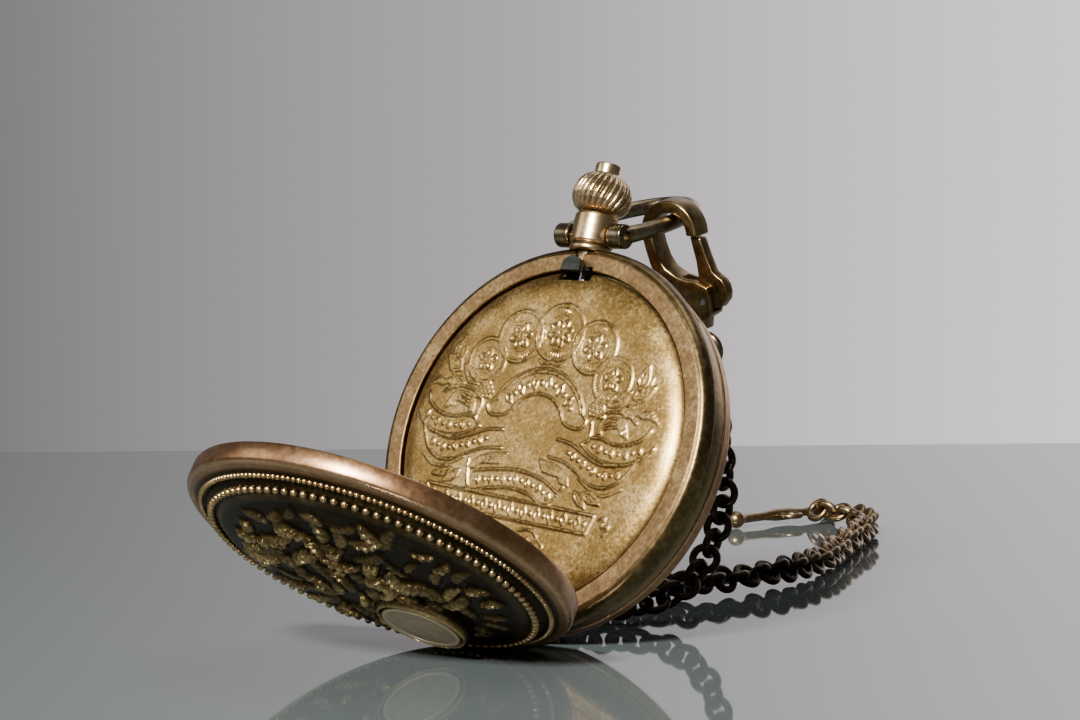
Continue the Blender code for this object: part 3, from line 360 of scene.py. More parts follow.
BOW_BRONZE = AgedMetal("bow_bronze", "dark_bronze", (0.09, 0.066, 0.038), (0.19, 0.148, 0.09),
                       (0.42, 0.34, 0.22), 0.27, 0.45, 0.15, 1.0, (0.02, 0.015, 0.01))
CLASP_BRONZE = AgedMetal("clasp_bronze", "dark_bronze", (0.10, 0.064, 0.024), (0.23, 0.155, 0.065),
                         (0.52, 0.38, 0.19), 0.28, 0.4, 0.15, 1.0, (0.02, 0.014, 0.008))
# Its fade span paints shade on the links near the watch, darkening them towards the near-black patina colour.
CHAIN_BRONZE = AgedMetal("chain_bronze", "dark_bronze", (0.12, 0.075, 0.038), (0.26, 0.17, 0.088),
                         (0.50, 0.36, 0.20), 0.33, 0.5, 0.2, 1.0, (0.011, 0.009, 0.007), (60.0, 92.0))
PLATE_BRASS = AgedMetal("plate_brass", "movement_brass", (0.36, 0.26, 0.17), (0.54, 0.41, 0.28),
                        (0.80, 0.66, 0.47), 0.46, 0.25, 0.1, 0.8, (0.12, 0.08, 0.05))
LATCH_STEEL = AgedMetal("latch_steel", "steel", (0.022, 0.023, 0.022), (0.04, 0.042, 0.04),
                        (0.085, 0.088, 0.085), 0.52, 0.5, 0.3, 1.6, (0.02, 0.02, 0.02))
TRAIN_BRASS = TurnedMetal("train_brass", (0.72, 0.55, 0.28))
TRAIN_STEEL = TurnedMetal("train_steel", (0.42, 0.43, 0.45))
HAND_STEEL = TurnedMetal("blued_hand_steel", (0.04, 0.06, 0.2), 0.22)
DIAL_ENAMEL = Enamel("dial_enamel", (0.86, 0.84, 0.78))
NUMERAL_ENAMEL = Enamel("numeral_enamel", (0.03, 0.03, 0.035))


class Finishes:
    """Keeps one material for each finish."""

    made: dict[str, bpy.types.Material] = {}

    @classmethod
    def get(cls, finish: Finish) -> bpy.types.Material:
        """Give a finish's material, built the first time it is asked for."""
        if finish.name not in cls.made:
            cls.made[finish.name] = finish.material()
        return cls.made[finish.name]


# ---- places ---------------------------------------------------------------------------------
def joint(name: str) -> dict:
    """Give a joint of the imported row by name."""
    return next(item for item in frame["joints"] if item["name"] == name)


def basis(across: Vector, through: Vector, up: Vector, origin: Vector) -> Matrix:
    """Matrix whose columns are three directions and an origin."""
    turn = Matrix((across, through, up)).transposed().to_4x4()
    return Matrix.Translation(origin) @ turn


HANDS_AXIS = Vector(joint("centre_turn")["axis"])
CENTRE = Vector(joint("centre_turn")["pos_m"])
UP = Vector(joint("crown_winding")["axis"])
WATCH = basis(Vector((1, 0, 0)), -HANDS_AXIS, UP, CENTRE)
COVER_OPEN = radians(joint("lid_hinge")["range_deg"][1])
COVER = (Matrix.Translation(Vector(joint("lid_hinge")["pos_m"])) @ WATCH.to_3x3().to_4x4()
         @ Matrix.Rotation(COVER_OPEN, 4, "X"))
CLASP_UP = Vector(joint("swivel_turn")["axis"])
CLASP_THROUGH = -Vector(joint("gate_swing")["axis"])
CLASP_ACROSS = CLASP_THROUGH.cross(CLASP_UP)


# ---- mesh helpers ---------------------------------------------------------------------------
def turned(outline: Sequence[Point2], steps: int, axis: Axis = Axis.Y, centre: Point3 = (0, 0, 0),
           wear: Sequence[float] | None = None) -> bmesh.types.BMesh:
    """Turn an outline of (radius, height) about an axis.

    Args:
        outline: Points from one end of the profile to the other; off-axis ends are joined.
        steps: Facets round the axis.
        axis: Axis of the turning.
        centre: Point that the axis passes through.
        wear: Wear of each profile point, kept as the mesh attribute "wear".

    Returns:
        The closed mesh, in millimetres.
    """
    shape = bmesh.new()
    layer = shape.verts.layers.float.new("wear")
    shapes = {Axis.Y: lambda r, h, c, s: (r * c, h, r * s), Axis.Z: lambda r, h, c, s: (r * c, r * s, h),
              Axis.X: lambda r, h, c, s: (h, r * c, r * s)}
    at = shapes[axis]
    rings = []
    for index, (radius, height) in enumerate(outline):
        count = steps if radius > 1e-6 else 1
        ring = []
        for k in range(count):
            angle = 2 * pi * k / steps
            point = at(radius, height, cos(angle), sin(angle))
            vert = shape.verts.new([a + b for a, b in zip(point, centre)])
            vert[layer] = wear[index] if wear is not None else 0.0
            ring.append(vert)
        rings.append(ring)
    pairs = list(zip(rings, rings[1:]))
    if outline[0][0] > 1e-6 and outline[-1][0] > 1e-6:
        pairs.append((rings[-1], rings[0]))
    for low, high in pairs:
        for k in range(steps):
            loop = [low[k % len(low)], low[(k + 1) % len(low)], high[(k + 1) % len(high)],
                    high[k % len(high)]]
            unique = list(dict.fromkeys(loop))
            if len(unique) > 2:
                shape.faces.new(unique)
    return shape


def rounded(outline: Sequence[Point2], size: float, closed: bool = True,
            steps: int = 3) -> tuple[list[Point2], list[float]]:
    """Round a profile's corners and give each point's wear.

    Args:
        outline: Profile points.
        size: Largest length taken from each side of a corner.
        closed: Whether the last point joins the first.
        steps: Points in each rounded corner, less one.

    Returns:
        The rounded profile and the wear of each of its points, 1 on a sharp outward corner.
    """
    points, wear = [], []
    count = len(outline)
    area = sum(a[0] * b[1] - b[0] * a[1] for a, b in zip(outline, [*outline[1:], outline[0]]))
    for k, corner in enumerate(outline):
        if not closed and k in (0, count - 1):
            points.append(corner)
            wear.append(0.0)
            continue
        here = Vector(corner)
        back, on = Vector(outline[k - 1]) - here, Vector(outline[(k + 1) % count]) - here
        cut = min(size, 0.42 * back.length, 0.42 * on.length)
        start, end = here + back.normalized() * cut, here + on.normalized() * cut
        turn = back.x * on.y - back.y * on.x
        sharp = (1 + back.normalized().dot(on.normalized())) * (-1 if turn * area > 0 else 1)
        for j in range(steps + 1):
            t = j / steps
            point = start * (1 - t) ** 2 + here * 2 * t * (1 - t) + end * t ** 2
            points.append((point.x, point.y))
            wear.append(max(-1.0, min(1.0, sharp)))
    return points, wear


def prism(points: Sequence[Point2], low: float, high: float) -> bmesh.types.BMesh:
    """Extrude an outline of (x, z) points along Y from low to high."""
    shape = bmesh.new()
    shape.verts.layers.float.new("wear")
    verts = [shape.verts.new((x, low, z)) for x, z in points]
    face = shape.faces.new(verts)
    grown = bmesh.ops.extrude_face_region(shape, geom=[face])
    moved = [item for item in grown["geom"] if isinstance(item, bmesh.types.BMVert)]
    bmesh.ops.translate(shape, vec=(0, high - low, 0), verts=moved)
    return shape


def block(low: Point3, high: Point3) -> bmesh.types.BMesh:
    """Box between two corners."""
    corners = [(low[0], low[2]), (high[0], low[2]), (high[0], high[2]), (low[0], high[2])]
    return prism(corners, low[1], high[1])


def arc(centre: Point2, radius: float, start_deg: float, end_deg: float, steps: int) -> list[Point2]:
    """Points on a circle."""
    angles = [radians(start_deg + (end_deg - start_deg) * k / steps) for k in range(steps + 1)]
    return [(centre[0] + radius * cos(a), centre[1] + radius * sin(a)) for a in angles]


def flowing(knots: Sequence[Vector], steps: int) -> list[Vector]:
    """Points of a smooth line through knots, with the given steps from each knot to the next."""
    ends = [2 * knots[0] - knots[1], *knots, 2 * knots[-1] - knots[-2]]
    line = []
    for a, b, c, d in zip(ends, ends[1:], ends[2:], ends[3:]):
        line += [0.5 * (2 * b + (c - a) * t + (2 * a - 5 * b + 4 * c - d) * t ** 2
                        + (3 * b - a - 3 * c + d) * t ** 3) for t in (k / steps for k in range(steps))]
    return [*line, knots[-1]]


def linked(name: str, data: bpy.types.ID) -> bpy.types.Object:
    """New object in the scene."""
    made = bpy.data.objects.new(name, data)
    bpy.context.scene.collection.objects.link(made)
    return made


def soften(piece: bpy.types.Object, width: float, segments: int, limit_deg: float = 30.0) -> None:
    """Bevel the edges that are sharper than an angle; the width is in millimetres."""
    bevel = piece.modifiers.new("soften", "BEVEL")
    bevel.width, bevel.segments, bevel.limit_method = width * MM, segments, "ANGLE"
    bevel.angle_limit = radians(limit_deg)


def loose(name: str, shape: bmesh.types.BMesh, seat: Matrix) -> bpy.types.Object:
    """Turn a shape in millimetres into an object whose mesh lies in the row's frame.

    Args:
        name: Name of the object.
        shape: Shape in millimetres; it is freed.
        seat: Frame that the shape was drawn in.

    Returns:
        The object, at the origin.
    """
    bmesh.ops.recalc_face_normals(shape, faces=shape.faces)
    bmesh.ops.transform(shape, matrix=seat @ Matrix.Scale(MM, 4), verts=shape.verts)
    mesh = bpy.data.meshes.new(name)
    shape.to_mesh(mesh)
    shape.free()
    return linked(name, mesh)


def settled(piece: bpy.types.Object, sharp_deg: float = 35.0) -> bpy.types.Object:
    """Apply every modifier and smooth the mesh.

    Args:
        piece: Object whose modifiers are applied.
        sharp_deg: Angle above which an edge stays sharp.

    Returns:
        The same object.
    """
    graph = bpy.context.evaluated_depsgraph_get()
    mesh = bpy.data.meshes.new_from_object(piece.evaluated_get(graph), preserve_all_data_layers=True,
                                           depsgraph=graph)
    piece.modifiers.clear()
    piece.data = mesh
    mesh.shade_smooth()
    mesh.set_sharp_from_angle(angle=radians(sharp_deg))
    return piece


def carve(piece: bpy.types.Object, tools: Sequence[tuple[str, bmesh.types.BMesh]], seat: Matrix) -> None:
    """Add or cut tool shapes, in order.

    Args:
        piece: Object that is changed.
        tools: Pairs of "UNION" or "DIFFERENCE" and a shape in millimetres.
        seat: Frame that the shapes were drawn in.
    """
    for operation, shape in tools:
        tool = loose("tool", shape, seat)
        change = piece.modifiers.new("carve", "BOOLEAN")
        change.operation, change.object = operation, tool
        settled(piece)
        bpy.data.objects.remove(tool)


def dress(piece: bpy.types.Object, body: str, finish: Finish, slot: str, *nodes: str) -> bpy.types.Object:
    """Give a piece its finish, its body and the CAD nodes it stands for.

    Args:
        piece: Finished piece.
        body: Body that it rides on.
        finish: Finish of its whole surface.
        slot: Material slot of the record; not used.
        nodes: CAD nodes that it replaces.

    Returns:
        The piece.
    """
    piece.data.materials.clear()
    piece.data.materials.append(Finishes.get(finish))
    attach(piece, body)
    if nodes:
        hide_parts(*nodes)
    LOG.info("%s: %d faces, rides on %s", piece.name, len(piece.data.polygons), body)
    return piece


def swept(path: Sequence[Vector], radius: Callable[[float], float], sides: int,
          flat: Vector) -> bmesh.types.BMesh:
    """Round bar along an open path in one plane.

    Args:
        path: Points of the centre line.
        radius: Radius for a place between 0 and 1 along the path.
        sides: Facets round the bar.
        flat: Normal of the path's plane.

    Returns:
        The closed bar.
    """
    shape = bmesh.new()
    shape.verts.layers.float.new("wear")
    rings = []
    last = len(path) - 1
    for k, point in enumerate(path):
        along = (path[min(k + 1, last)] - path[max(k - 1, 0)]).normalized()
        across = along.cross(flat).normalized()
        reach = radius(k / last)
        ring = []
        for j in range(sides):
            angle = 2 * pi * j / sides
            ring.append(shape.verts.new(point + (across * cos(angle) + flat * sin(angle)) * reach))
        rings.append(ring)
    for low, high in zip(rings, rings[1:]):
        for j in range(sides):
            shape.faces.new((low[j], low[(j + 1) % sides], high[(j + 1) % sides], high[j]))
    shape.faces.new(rings[0])
    shape.faces.new(rings[-1])
    return shape


# ---- geometry node trees --------------------------------------------------------------------
class NodeTree:
    """A Geometry Nodes tree with named inputs, ending in Realize Instances and Set Material."""

    def __init__(self, name: str, inputs: dict[str, tuple[str, object]]) -> None:
        """Start a tree.

        Args:
            name: Name of the tree.
            inputs: Name of each input, with its socket type and default.
        """
        self.tree = bpy.data.node_groups.new(name, "GeometryNodeTree")
        self.tree.is_modifier = True
        face = self.tree.interface
        face.new_socket("Geometry", in_out="INPUT", socket_type="NodeSocketGeometry")
        self.names: dict[str, str] = {}
        for label, (kind, default) in {**inputs, "Finish": ("NodeSocketMaterial", None)}.items():
            socket = face.new_socket(label, in_out="INPUT", socket_type=kind)
            if default is not None:
                socket.default_value = default
            self.names[label] = socket.identifier
        face.new_socket("Geometry", in_out="OUTPUT", socket_type="NodeSocketGeometry")
        self.source = self.tree.nodes.new("NodeGroupInput")

    def make(self, kind: str, settings: dict[str, object] | None = None,
             values: dict[str | int, object] | None = None) -> bpy.types.Node:
        """Add a node, its properties first, then its sockets' values or links."""
        node = self.tree.nodes.new(kind)
        for key, value in (settings or {}).items():
            setattr(node, key, value)
        for key, value in (values or {}).items():
            if isinstance(value, bpy.types.NodeSocket):
                self.tree.links.new(value, node.inputs[key])
            else:
                node.inputs[key].default_value = value
        return node

    def finish(self, instances: bpy.types.NodeSocket) -> None:
        """Realize the instances, give them the finish and send them out."""
        real = self.make("GeometryNodeRealizeInstances", {}, {0: instances})
        smooth = self.make("GeometryNodeSetShadeSmooth", {}, {0: real.outputs[0]})
        dressed = self.make("GeometryNodeSetMaterial", {}, {"Geometry": smooth.outputs[0],
                                                            "Material": self.source.outputs["Finish"]})
        self.make("NodeGroupOutput", {}, {0: dressed.outputs[0]})

    def grow(self, name: str, start: bpy.types.Object, values: dict[str, object]) -> bpy.types.Object:
        """Run the tree on an object and keep the result as a plain mesh.

        Args:
            name: Name of the new object.
            start: Object that the tree works on; it is removed.
            values: Values of the named inputs.

        Returns:
            The new object, at the origin.
        """
        change = start.modifiers.new(name, "NODES")
        change.node_group = self.tree
        for label, value in values.items():
            change[self.names[label]] = value
        start.update_tag()
        bpy.context.view_layer.update()
        graph = bpy.context.evaluated_depsgraph_get()
        mesh = bpy.data.meshes.new_from_object(start.evaluated_get(graph), preserve_all_data_layers=True,
                                               depsgraph=graph)
        mesh.name = name
        made = linked(name, mesh)
        bpy.data.objects.remove(start)
        return made


def bead_ring_tree() -> NodeTree:
    """Tree that sets beads evenly on a circle about the local Y axis."""
    tree = NodeTree("bead_ring", {"Count": ("NodeSocketInt", 90), "Radius": ("NodeSocketFloat", 0.02),
                                  "Bead radius": ("NodeSocketFloat", 0.0004)})
    given = tree.source.outputs
    circle = tree.make("GeometryNodeMeshCircle", {}, {"Vertices": given["Count"], "Radius": given["Radius"]})
    stood = tree.make("GeometryNodeTransform", {}, {"Geometry": circle.outputs[0],
                                                    "Rotation": (pi / 2, 0.0, 0.0)})
    bead = tree.make("GeometryNodeMeshIcoSphere", {}, {"Radius": given["Bead radius"], "Subdivisions": 2})
    placed = tree.make("GeometryNodeInstanceOnPoints", {}, {"Points": stood.outputs[0],
                                                            "Instance": bead.outputs["Mesh"]})
    tree.finish(placed.outputs[0])
    return tree


def tick_ring_tree() -> NodeTree:
    """Tree that sets short radial bars evenly on a circle about the local Y axis."""
    tree = NodeTree("tick_ring", {"Count": ("NodeSocketInt", 60), "Radius": ("NodeSocketFloat", 0.02),
                                  "Bar": ("NodeSocketVector", (0.001, 0.0002, 0.0001))})
    given = tree.source.outputs
    circle = tree.make("GeometryNodeMeshCircle", {}, {"Vertices": given["Count"], "Radius": given["Radius"]})
    place = tree.make("GeometryNodeInputPosition")
    facing = tree.make("FunctionNodeAlignRotationToVector", {"axis": "X"}, {"Vector": place.outputs[0]})
    bar = tree.make("GeometryNodeMeshCube", {}, {"Size": given["Bar"]})
    placed = tree.make("GeometryNodeInstanceOnPoints", {}, {"Points": circle.outputs[0],
                                                            "Instance": bar.outputs[0],
                                                            "Rotation": facing.outputs[0]})
    stood = tree.make("GeometryNodeTransform", {}, {"Geometry": placed.outputs[0],
                                                    "Rotation": (pi / 2, 0.0, 0.0)})
    tree.finish(stood.outputs[0])
    return tree


def link_run_tree() -> NodeTree:
    """Tree that threads round links along a curve, each turned a quarter from the last."""
    tree = NodeTree("link_run", {"Links": ("NodeSocketInt", 70), "Link radius": ("NodeSocketFloat", 0.0015),
                                 "Wire radius": ("NodeSocketFloat", 0.0005)})
    given = tree.source.outputs
    spots = tree.make("GeometryNodeCurveToPoints", {"mode": "COUNT"}, {"Curve": given["Geometry"],
                                                                       "Count": given["Links"]})
    ring = tree.make("GeometryNodeCurvePrimitiveCircle", {}, {"Resolution": 20, "Radius": given["Link radius"]})
    wire = tree.make("GeometryNodeCurvePrimitiveCircle", {}, {"Resolution": 10, "Radius": given["Wire radius"]})
    link = tree.make("GeometryNodeCurveToMesh", {}, {"Curve": ring.outputs[0],
                                                     "Profile Curve": wire.outputs[0]})
    stood = tree.make("GeometryNodeTransform", {}, {"Geometry": link.outputs[0],
                                                    "Rotation": (pi / 2, 0.0, 0.0)})
    index = tree.make("GeometryNodeInputIndex")
    wobble = tree.make("FunctionNodeRandomValue", {"data_type": "FLOAT"}, {2: -0.32, 3: 0.32, "Seed": 5})
    quarter = tree.make("ShaderNodeMath", {"operation": "MULTIPLY_ADD"},
                        {0: index.outputs[0], 1: pi / 2, 2: pi / 4})
    angle = tree.make("ShaderNodeMath", {"operation": "ADD"}, {0: quarter.outputs[0], 1: wobble.outputs[1]})
    twist = tree.make("FunctionNodeAxisAngleToRotation", {}, {"Axis": (0.0, 0.0, 1.0), "Angle": angle.outputs[0]})
    turn = tree.make("FunctionNodeRotateRotation", {"rotation_space": "LOCAL"},
                     {0: spots.outputs["Rotation"], 1: twist.outputs[0]})
    placed = tree.make("GeometryNodeInstanceOnPoints", {}, {"Points": spots.outputs["Points"],
                                                            "Instance": stood.outputs[0],
                                                            "Rotation": turn.outputs[0]})
    tree.finish(placed.outputs[0])
    return tree


def seed_mesh(name: str) -> bpy.types.Object:
    """One-point object for a tree that makes its own geometry."""
    mesh = bpy.data.meshes.new(name)
    mesh.from_pydata([(0, 0, 0)], [], [])
    return linked(name, mesh)


# ---- case -----------------------------------------------------------------------------------
@dataclass
class Case:
    """Case band, bezel and crystal."""

    ring_radius: float = 23.45
    ring_width: float = 2.1
    bulge: float = 1.05
    seam_depth: float = 1.84
    band_depth: float = 4.9
    bore_radius: float = 20.9
    bezel_depth: float = 8.3
    foot_depth: float = 7.08
    foot_radius: float = 23.2
    hinge_radius: float = 23.44
    hinge_depth: float = 0.1
    knuckle_radius: float = 0.8
    pin_radius: float = 0.35
    inner_half: float = 2.5
    outer_half: float = 6.2
    pendant_depth: float = 1.75
    steps: int = 256

    def band(self) -> bpy.types.Object:
        """Flat front ring, half-round band with its seam, hinge knuckles and latch slot."""
        ring, inner, bulge, seam = self.ring_radius, self.ring_radius - self.ring_width, self.bulge, self.seam_depth
        outer = ring + bulge
        arch = [(ring + bulge * sin(t), seam * (1 - cos(t)) + 0.12 * cos(t)) for t in
                [radians(8 + 82 * k / 9) for k in range(10)]]
        outline = [(inner, 0.1), (inner + 0.1, 0.0), (ring - 0.1, 0.0), (ring, 0.12), *arch,
                   (outer - 0.12, seam + 0.15), (outer - 0.7, seam + 0.28), (ring + 0.15, seam + 0.7),
                   (ring + 0.15, self.band_depth), (self.bore_radius,
                                                    self.band_depth), (self.bore_radius, 1.3),
                   (inner, 1.3)]
        profile, wear = rounded(outline, 0.09)
        wear = [max(value, 0.0) if point[1] < seam else value for value, point in zip(wear, profile)]
        piece = loose("case_ring_band", turned(profile, self.steps, Axis.Y, wear=wear), WATCH)
        half, web = self.outer_half, self.hinge_radius
        tools = [("DIFFERENCE", block((-half - 0.4, -0.3, -outer - 0.5), (half + 0.4, 1.35, -web + 1.15)))]
        for side in (-1, 1):
            low, high = sorted((side * self.inner_half, side * half))
            tools.append(("UNION", block((low + 0.1, 0.62, -web - 0.5), (high - 0.1, 1.6, -web + 0.45))))
            tube = [(self.pin_radius + 0.05, low), (self.knuckle_radius, low), (self.knuckle_radius, high),
                    (self.pin_radius + 0.05, high)]
            tools.append(("UNION", turned(rounded(tube, 0.08)[0], 40, Axis.X, (0, self.hinge_depth, -web))))
        tools.append(("DIFFERENCE", block((-2.5, -1.0, self.bore_radius - 2),
                                          (2.5, self.band_depth - 1.2, inner + 0.4))))
        bore = [(0, self.bore_radius - 3), (1.85, self.bore_radius - 3), (1.85, outer + 1), (0, outer + 1)]
        tools.append(("DIFFERENCE", turned(bore, 40, Axis.Z, (0, self.pendant_depth, 0))))
        seat = [(0, 23.85), (2.65, 23.85), (2.65, outer + 1), (0, outer + 1)]
        tools.append(("DIFFERENCE", turned(seat, 56, Axis.Z, (0, self.pendant_depth, 0))))
        carve(piece, tools, WATCH)
        dress(piece, "case", RING_BRASS, "antique_brass", "case_band")
        # Painted shade: faces outside the flat ring or behind its face get the darker copy of the brass.
        band = Finishes.get(BAND_SHADE_BRASS)
        piece.data.materials.append(band)
        facing = WATCH.inverted()
        for face in piece.data.polygons:
            spot = facing @ face.center
            reach = sqrt(spot.x ** 2 + spot.z ** 2) / MM
            if reach > ring + 0.04 or spot.y > 0.4 * MM:
                face.material_index = 1
        return piece

    def bezel(self) -> bpy.types.Object:
        """Snap-on bezel on the dial side, with its thin bead at the joint."""
        front, foot, lip = self.band_depth + 0.3, self.foot_radius, 6.5
        outline = [(foot + 0.3, front), (foot + 0.42, front + 0.3), (foot + 0.1, front + 0.7),
                   (foot, self.foot_depth),
                   (foot - 0.3, self.foot_depth + 0.27), (foot - 0.9, self.bezel_depth - 0.25),
                   (foot - 1.65, self.bezel_depth), (20.65, self.bezel_depth), (20.4, self.bezel_depth - 0.3),
                   (20.4, lip + 0.45), (19.5, lip + 0.45), (19.5, lip), (22.2, lip), (22.2, front)]
        profile, wear = rounded(outline, 0.12)
        piece = loose("bezel_ring", turned(profile, self.steps, Axis.Y, wear=wear), WATCH)
        return dress(settled(piece), "case", LID_COPPER, "copper_brass", "bezel")

    def crystal(self) -> bpy.types.Object:
        """Domed crystal over the dial."""
        low, radius = 7.25, 20.1
        top = [(radius * k / 10, self.bezel_depth - 0.12 - 0.55 * (k / 10) ** 4) for k in range(10)]
        outline = [*top, (radius, low + 0.5), (radius, low), *((radius * k / 10, low + 0.3 - 0.3 * (k / 10) ** 2)
                                                              for k in range(9, -1, -1))]
        piece = loose("crystal_dome", turned(outline, 192, Axis.Y), WATCH)
        return dress(settled(piece, 40), "case", WatchGlass(), "crystal", "crystal")

    def build(self) -> None:
        """Make the case's pieces."""
        self.band()
        self.bezel()
        self.crystal()


# ---- engraving ------------------------------------------------------------------------------
@dataclass
class Engraving:
    """Raised line ornament: medallions, ribbons, banners, leaves and grapes, drawn as a height field."""

    half: float = 21.0
    pitch: float = 0.09
    line: float = 0.15
    turn_deg: float = -5.0
    offset: float = -0.7
    height: np.ndarray = field(init=False)

    def __post_init__(self) -> None:
        """Start with an empty field and draw the whole ornament."""
        self.size = int(2 * self.half / self.pitch) + 1
        self.height = np.zeros((self.size, self.size), dtype=np.float32)
        self.draw()

    def stroke(self, points: Sequence[Point2], width: float = 1.0, tall: float = 1.0) -> None:
        """Raise a line along points in the ornament's own frame.

        Args:
            points: Points of the line, in millimetres.
            width: Width, in standard line widths.
            tall: Height of the line's crest.
        """
        turn = radians(self.turn_deg)
        placed = [((x + self.offset) * cos(turn) - y * sin(turn),
                   (x + self.offset) * sin(turn) + y * cos(turn))
                  for x, y in points]
        reach = self.line * width
        pad = 3 * reach
        for (ax, ay), (bx, by) in zip(placed, placed[1:]):
            low_x, high_x = min(ax, bx) - pad, max(ax, bx) + pad
            low_y, high_y = min(ay, by) - pad, max(ay, by) + pad
            i0, i1 = (max(0, int((v + self.half) / self.pitch)) for v in (low_x, high_x))
            j0, j1 = (max(0, int((v + self.half) / self.pitch)) for v in (low_y, high_y))
            i1, j1 = min(self.size, i1 + 2), min(self.size, j1 + 2)
            if i0 >= i1 or j0 >= j1:
                continue
            xs = np.arange(i0, i1) * self.pitch - self.half
            ys = np.arange(j0, j1) * self.pitch - self.half
            gx, gy = np.meshgrid(xs, ys, indexing="ij")
            dx, dy = bx - ax, by - ay
            along = np.clip(((gx - ax) * dx + (gy - ay) * dy) / max(dx * dx + dy * dy, 1e-9), 0, 1)
            away = np.hypot(gx - ax - along * dx, gy - ay - along * dy)
            crest = tall * np.exp(-(away / reach) ** 2)
            part = self.height[i0:i1, j0:j1]
            np.maximum(part, crest, out=part)

    def circle(self, centre: Point2, radius: float, width: float = 1.0, tall: float = 1.0) -> None:
        """Raise a ring."""
        self.stroke(arc(centre, radius, 0, 360, max(10, int(14 * radius))), width, tall)

    def smooth(self, points: Sequence[Point2], width: float = 1.0, tall: float = 1.0,
               mirror: bool = False) -> None:
        """Raise a smooth curve through points, and its mirror image if asked."""
        fine = flowing([Vector(p) for p in points], 8)
        self.stroke([(p.x, p.y) for p in fine], width, tall)
        if mirror:
            self.stroke([(-p.x, p.y) for p in fine], width, tall)

    def medallion(self, centre: Point2, radius: float, petals: int) -> None:
        """Double ring with a ticked border and a rosette."""
        self.circle(centre, radius, 1.0, 0.9)
        self.circle(centre, radius * 0.93, 0.8, 0.7)
        self.circle(centre, radius * 0.66, 0.7, 0.55)
        for k in range(int(radius * 13)):
            angle = 2 * pi * k / int(radius * 13)
            ends = [(centre[0] + r * radius * cos(angle), centre[1] + r * radius * sin(angle)) for r in (0.74, 0.84)]
            self.stroke(ends, 0.7, 0.7)
        for k in range(petals):
            angle = 2 * pi * k / petals + 0.3
            tip = 0.5 * radius
            heart, waist = 0.12 * radius, 0.65 * tip
            petal = ((heart, 0), (waist, 0.36), (tip, 0.0), (waist, -0.36), (heart, 0))
            points = [(centre[0] + r * cos(angle + t), centre[1] + r * sin(angle + t)) for r, t in petal]
            self.smooth(points, 0.8, 0.85)
        self.circle(centre, 0.1 * radius, 1.2, 1.0)

    def leaf(self, root: Point2, tip: Point2, width: float) -> None:
        """Pointed leaf with a rib and side veins."""
        a, b = Vector(root), Vector(tip)
        side = Vector((a.y - b.y, b.x - a.x)).normalized() * width
        for sign in (-1, 1):
            self.smooth([tuple(a), tuple(a.lerp(b, 0.4) + side * sign), tuple(b)], 0.85, 0.85)
        self.stroke([tuple(a), tuple(b)], 0.7, 0.6)
        for share in (0.35, 0.6):
            for sign in (-1, 1):
                self.stroke([tuple(a.lerp(b, share)), tuple(a.lerp(b, share + 0.15) + side * sign * 0.6)],
                            0.6, 0.5)

    def grapes(self, centre: Point2, lean: float) -> None:
        """Bunch of grapes that hangs along a slope."""
        for row, count in enumerate((3, 4, 3, 2, 1)):
            for k in range(count):
                x = (k - (count - 1) / 2) * 0.62
                y = -row * 0.55
                spot = (centre[0] + x * cos(lean) - y * sin(lean), centre[1] + x * sin(lean) + y * cos(lean))
                self.circle(spot, 0.26, 0.9, 0.85)

    def frieze(self, points: Sequence[Point2], step: float, size: float) -> None:
        """Row of small lozenges and dots that fills a banner."""
        line = [Vector(p) for p in points]
        lengths = [0.0]
        for a, b in zip(line, line[1:]):
            lengths.append(lengths[-1] + (b - a).length)
        count = max(2, int(lengths[-1] / step))
        for k in range(count + 1):
            goal = lengths[-1] * k / count
            j = max(0, min(len(line) - 2, int(np.searchsorted(lengths, goal)) - 1))
            share = (goal - lengths[j]) / max(lengths[j + 1] - lengths[j], 1e-6)
            here, along = line[j].lerp(line[j + 1], share), (line[j + 1] - line[j]).normalized()
            up = Vector((-along.y, along.x))
            if k % 2:
                self.circle(tuple(here), size * 0.22, 0.9, 0.8)
                continue
            corners = [here + along * size * 0.55, here + up * size, here - along * size * 0.55,
                       here - up * size]
            self.stroke([tuple(p) for p in (*corners, corners[0])], 0.8, 0.85)

    def draw(self) -> None:
        """Draw the ornament."""
        for x, y, radius, petals in ((0.0, 13.0, 3.6, 8), (5.9, 11.8, 3.3, 6), (-5.9, 11.8, 3.3, 6),
                                     (10.0, 8.2, 2.85, 5), (-10.0, 8.2, 2.85, 5)):
            self.medallion((x, y), radius, petals)
        arch = (0.0, 0.6)
        outer, inner = arc(arch, 7.7, 158, 22, 30), arc(arch, 4.5, 152, 28, 24)
        for bend, tall in ((outer, 1.0), (arc(arch, 7.3, 156, 24, 30), 0.6), (inner, 1.0)):
            self.stroke(bend, 1.0, tall)
        self.frieze(arc(arch, 5.95, 146, 34, 30), 1.05, 0.75)
        for sign in (-1, 1):
            self.smooth([(sign * 7.1, 3.5), (sign * 7.9, 2.7), (sign * 7.2, 1.7), (sign * 5.6, 1.7),
                         (sign * 4.6, 2.1), (sign * 4.0, 2.7)], 1.0, 0.95)
        self.smooth([(-18.9, 0.9), (-17.4, -0.7), (-15.2, -1.7), (-12.4, -1.8), (-10.1, -1.2), (-8.1, -0.1)],
                    mirror=True)
        self.smooth([(-17.8, 3.0), (-16.9, 1.7), (-14.7, 0.7), (-12.6, 0.6), (-11.0, 1.0), (-9.2, 0.9)],
                    mirror=True)
        self.smooth([(-8.1, -0.1), (-9.2, 0.9), (-8.9, 3.0), (-11.0, 4.3), (-13.6, 4.4), (-15.4, 3.5)],
                    mirror=True)
        for sign in (-1, 1):
            banner = ((17.0, 0.4), (15.0, -0.5), (12.5, -0.6), (10.0, -0.1))
            self.frieze([(sign * x, y) for x, y in banner], 0.95, 0.42)
        for k in range(4):
            lift = 0.42 * k
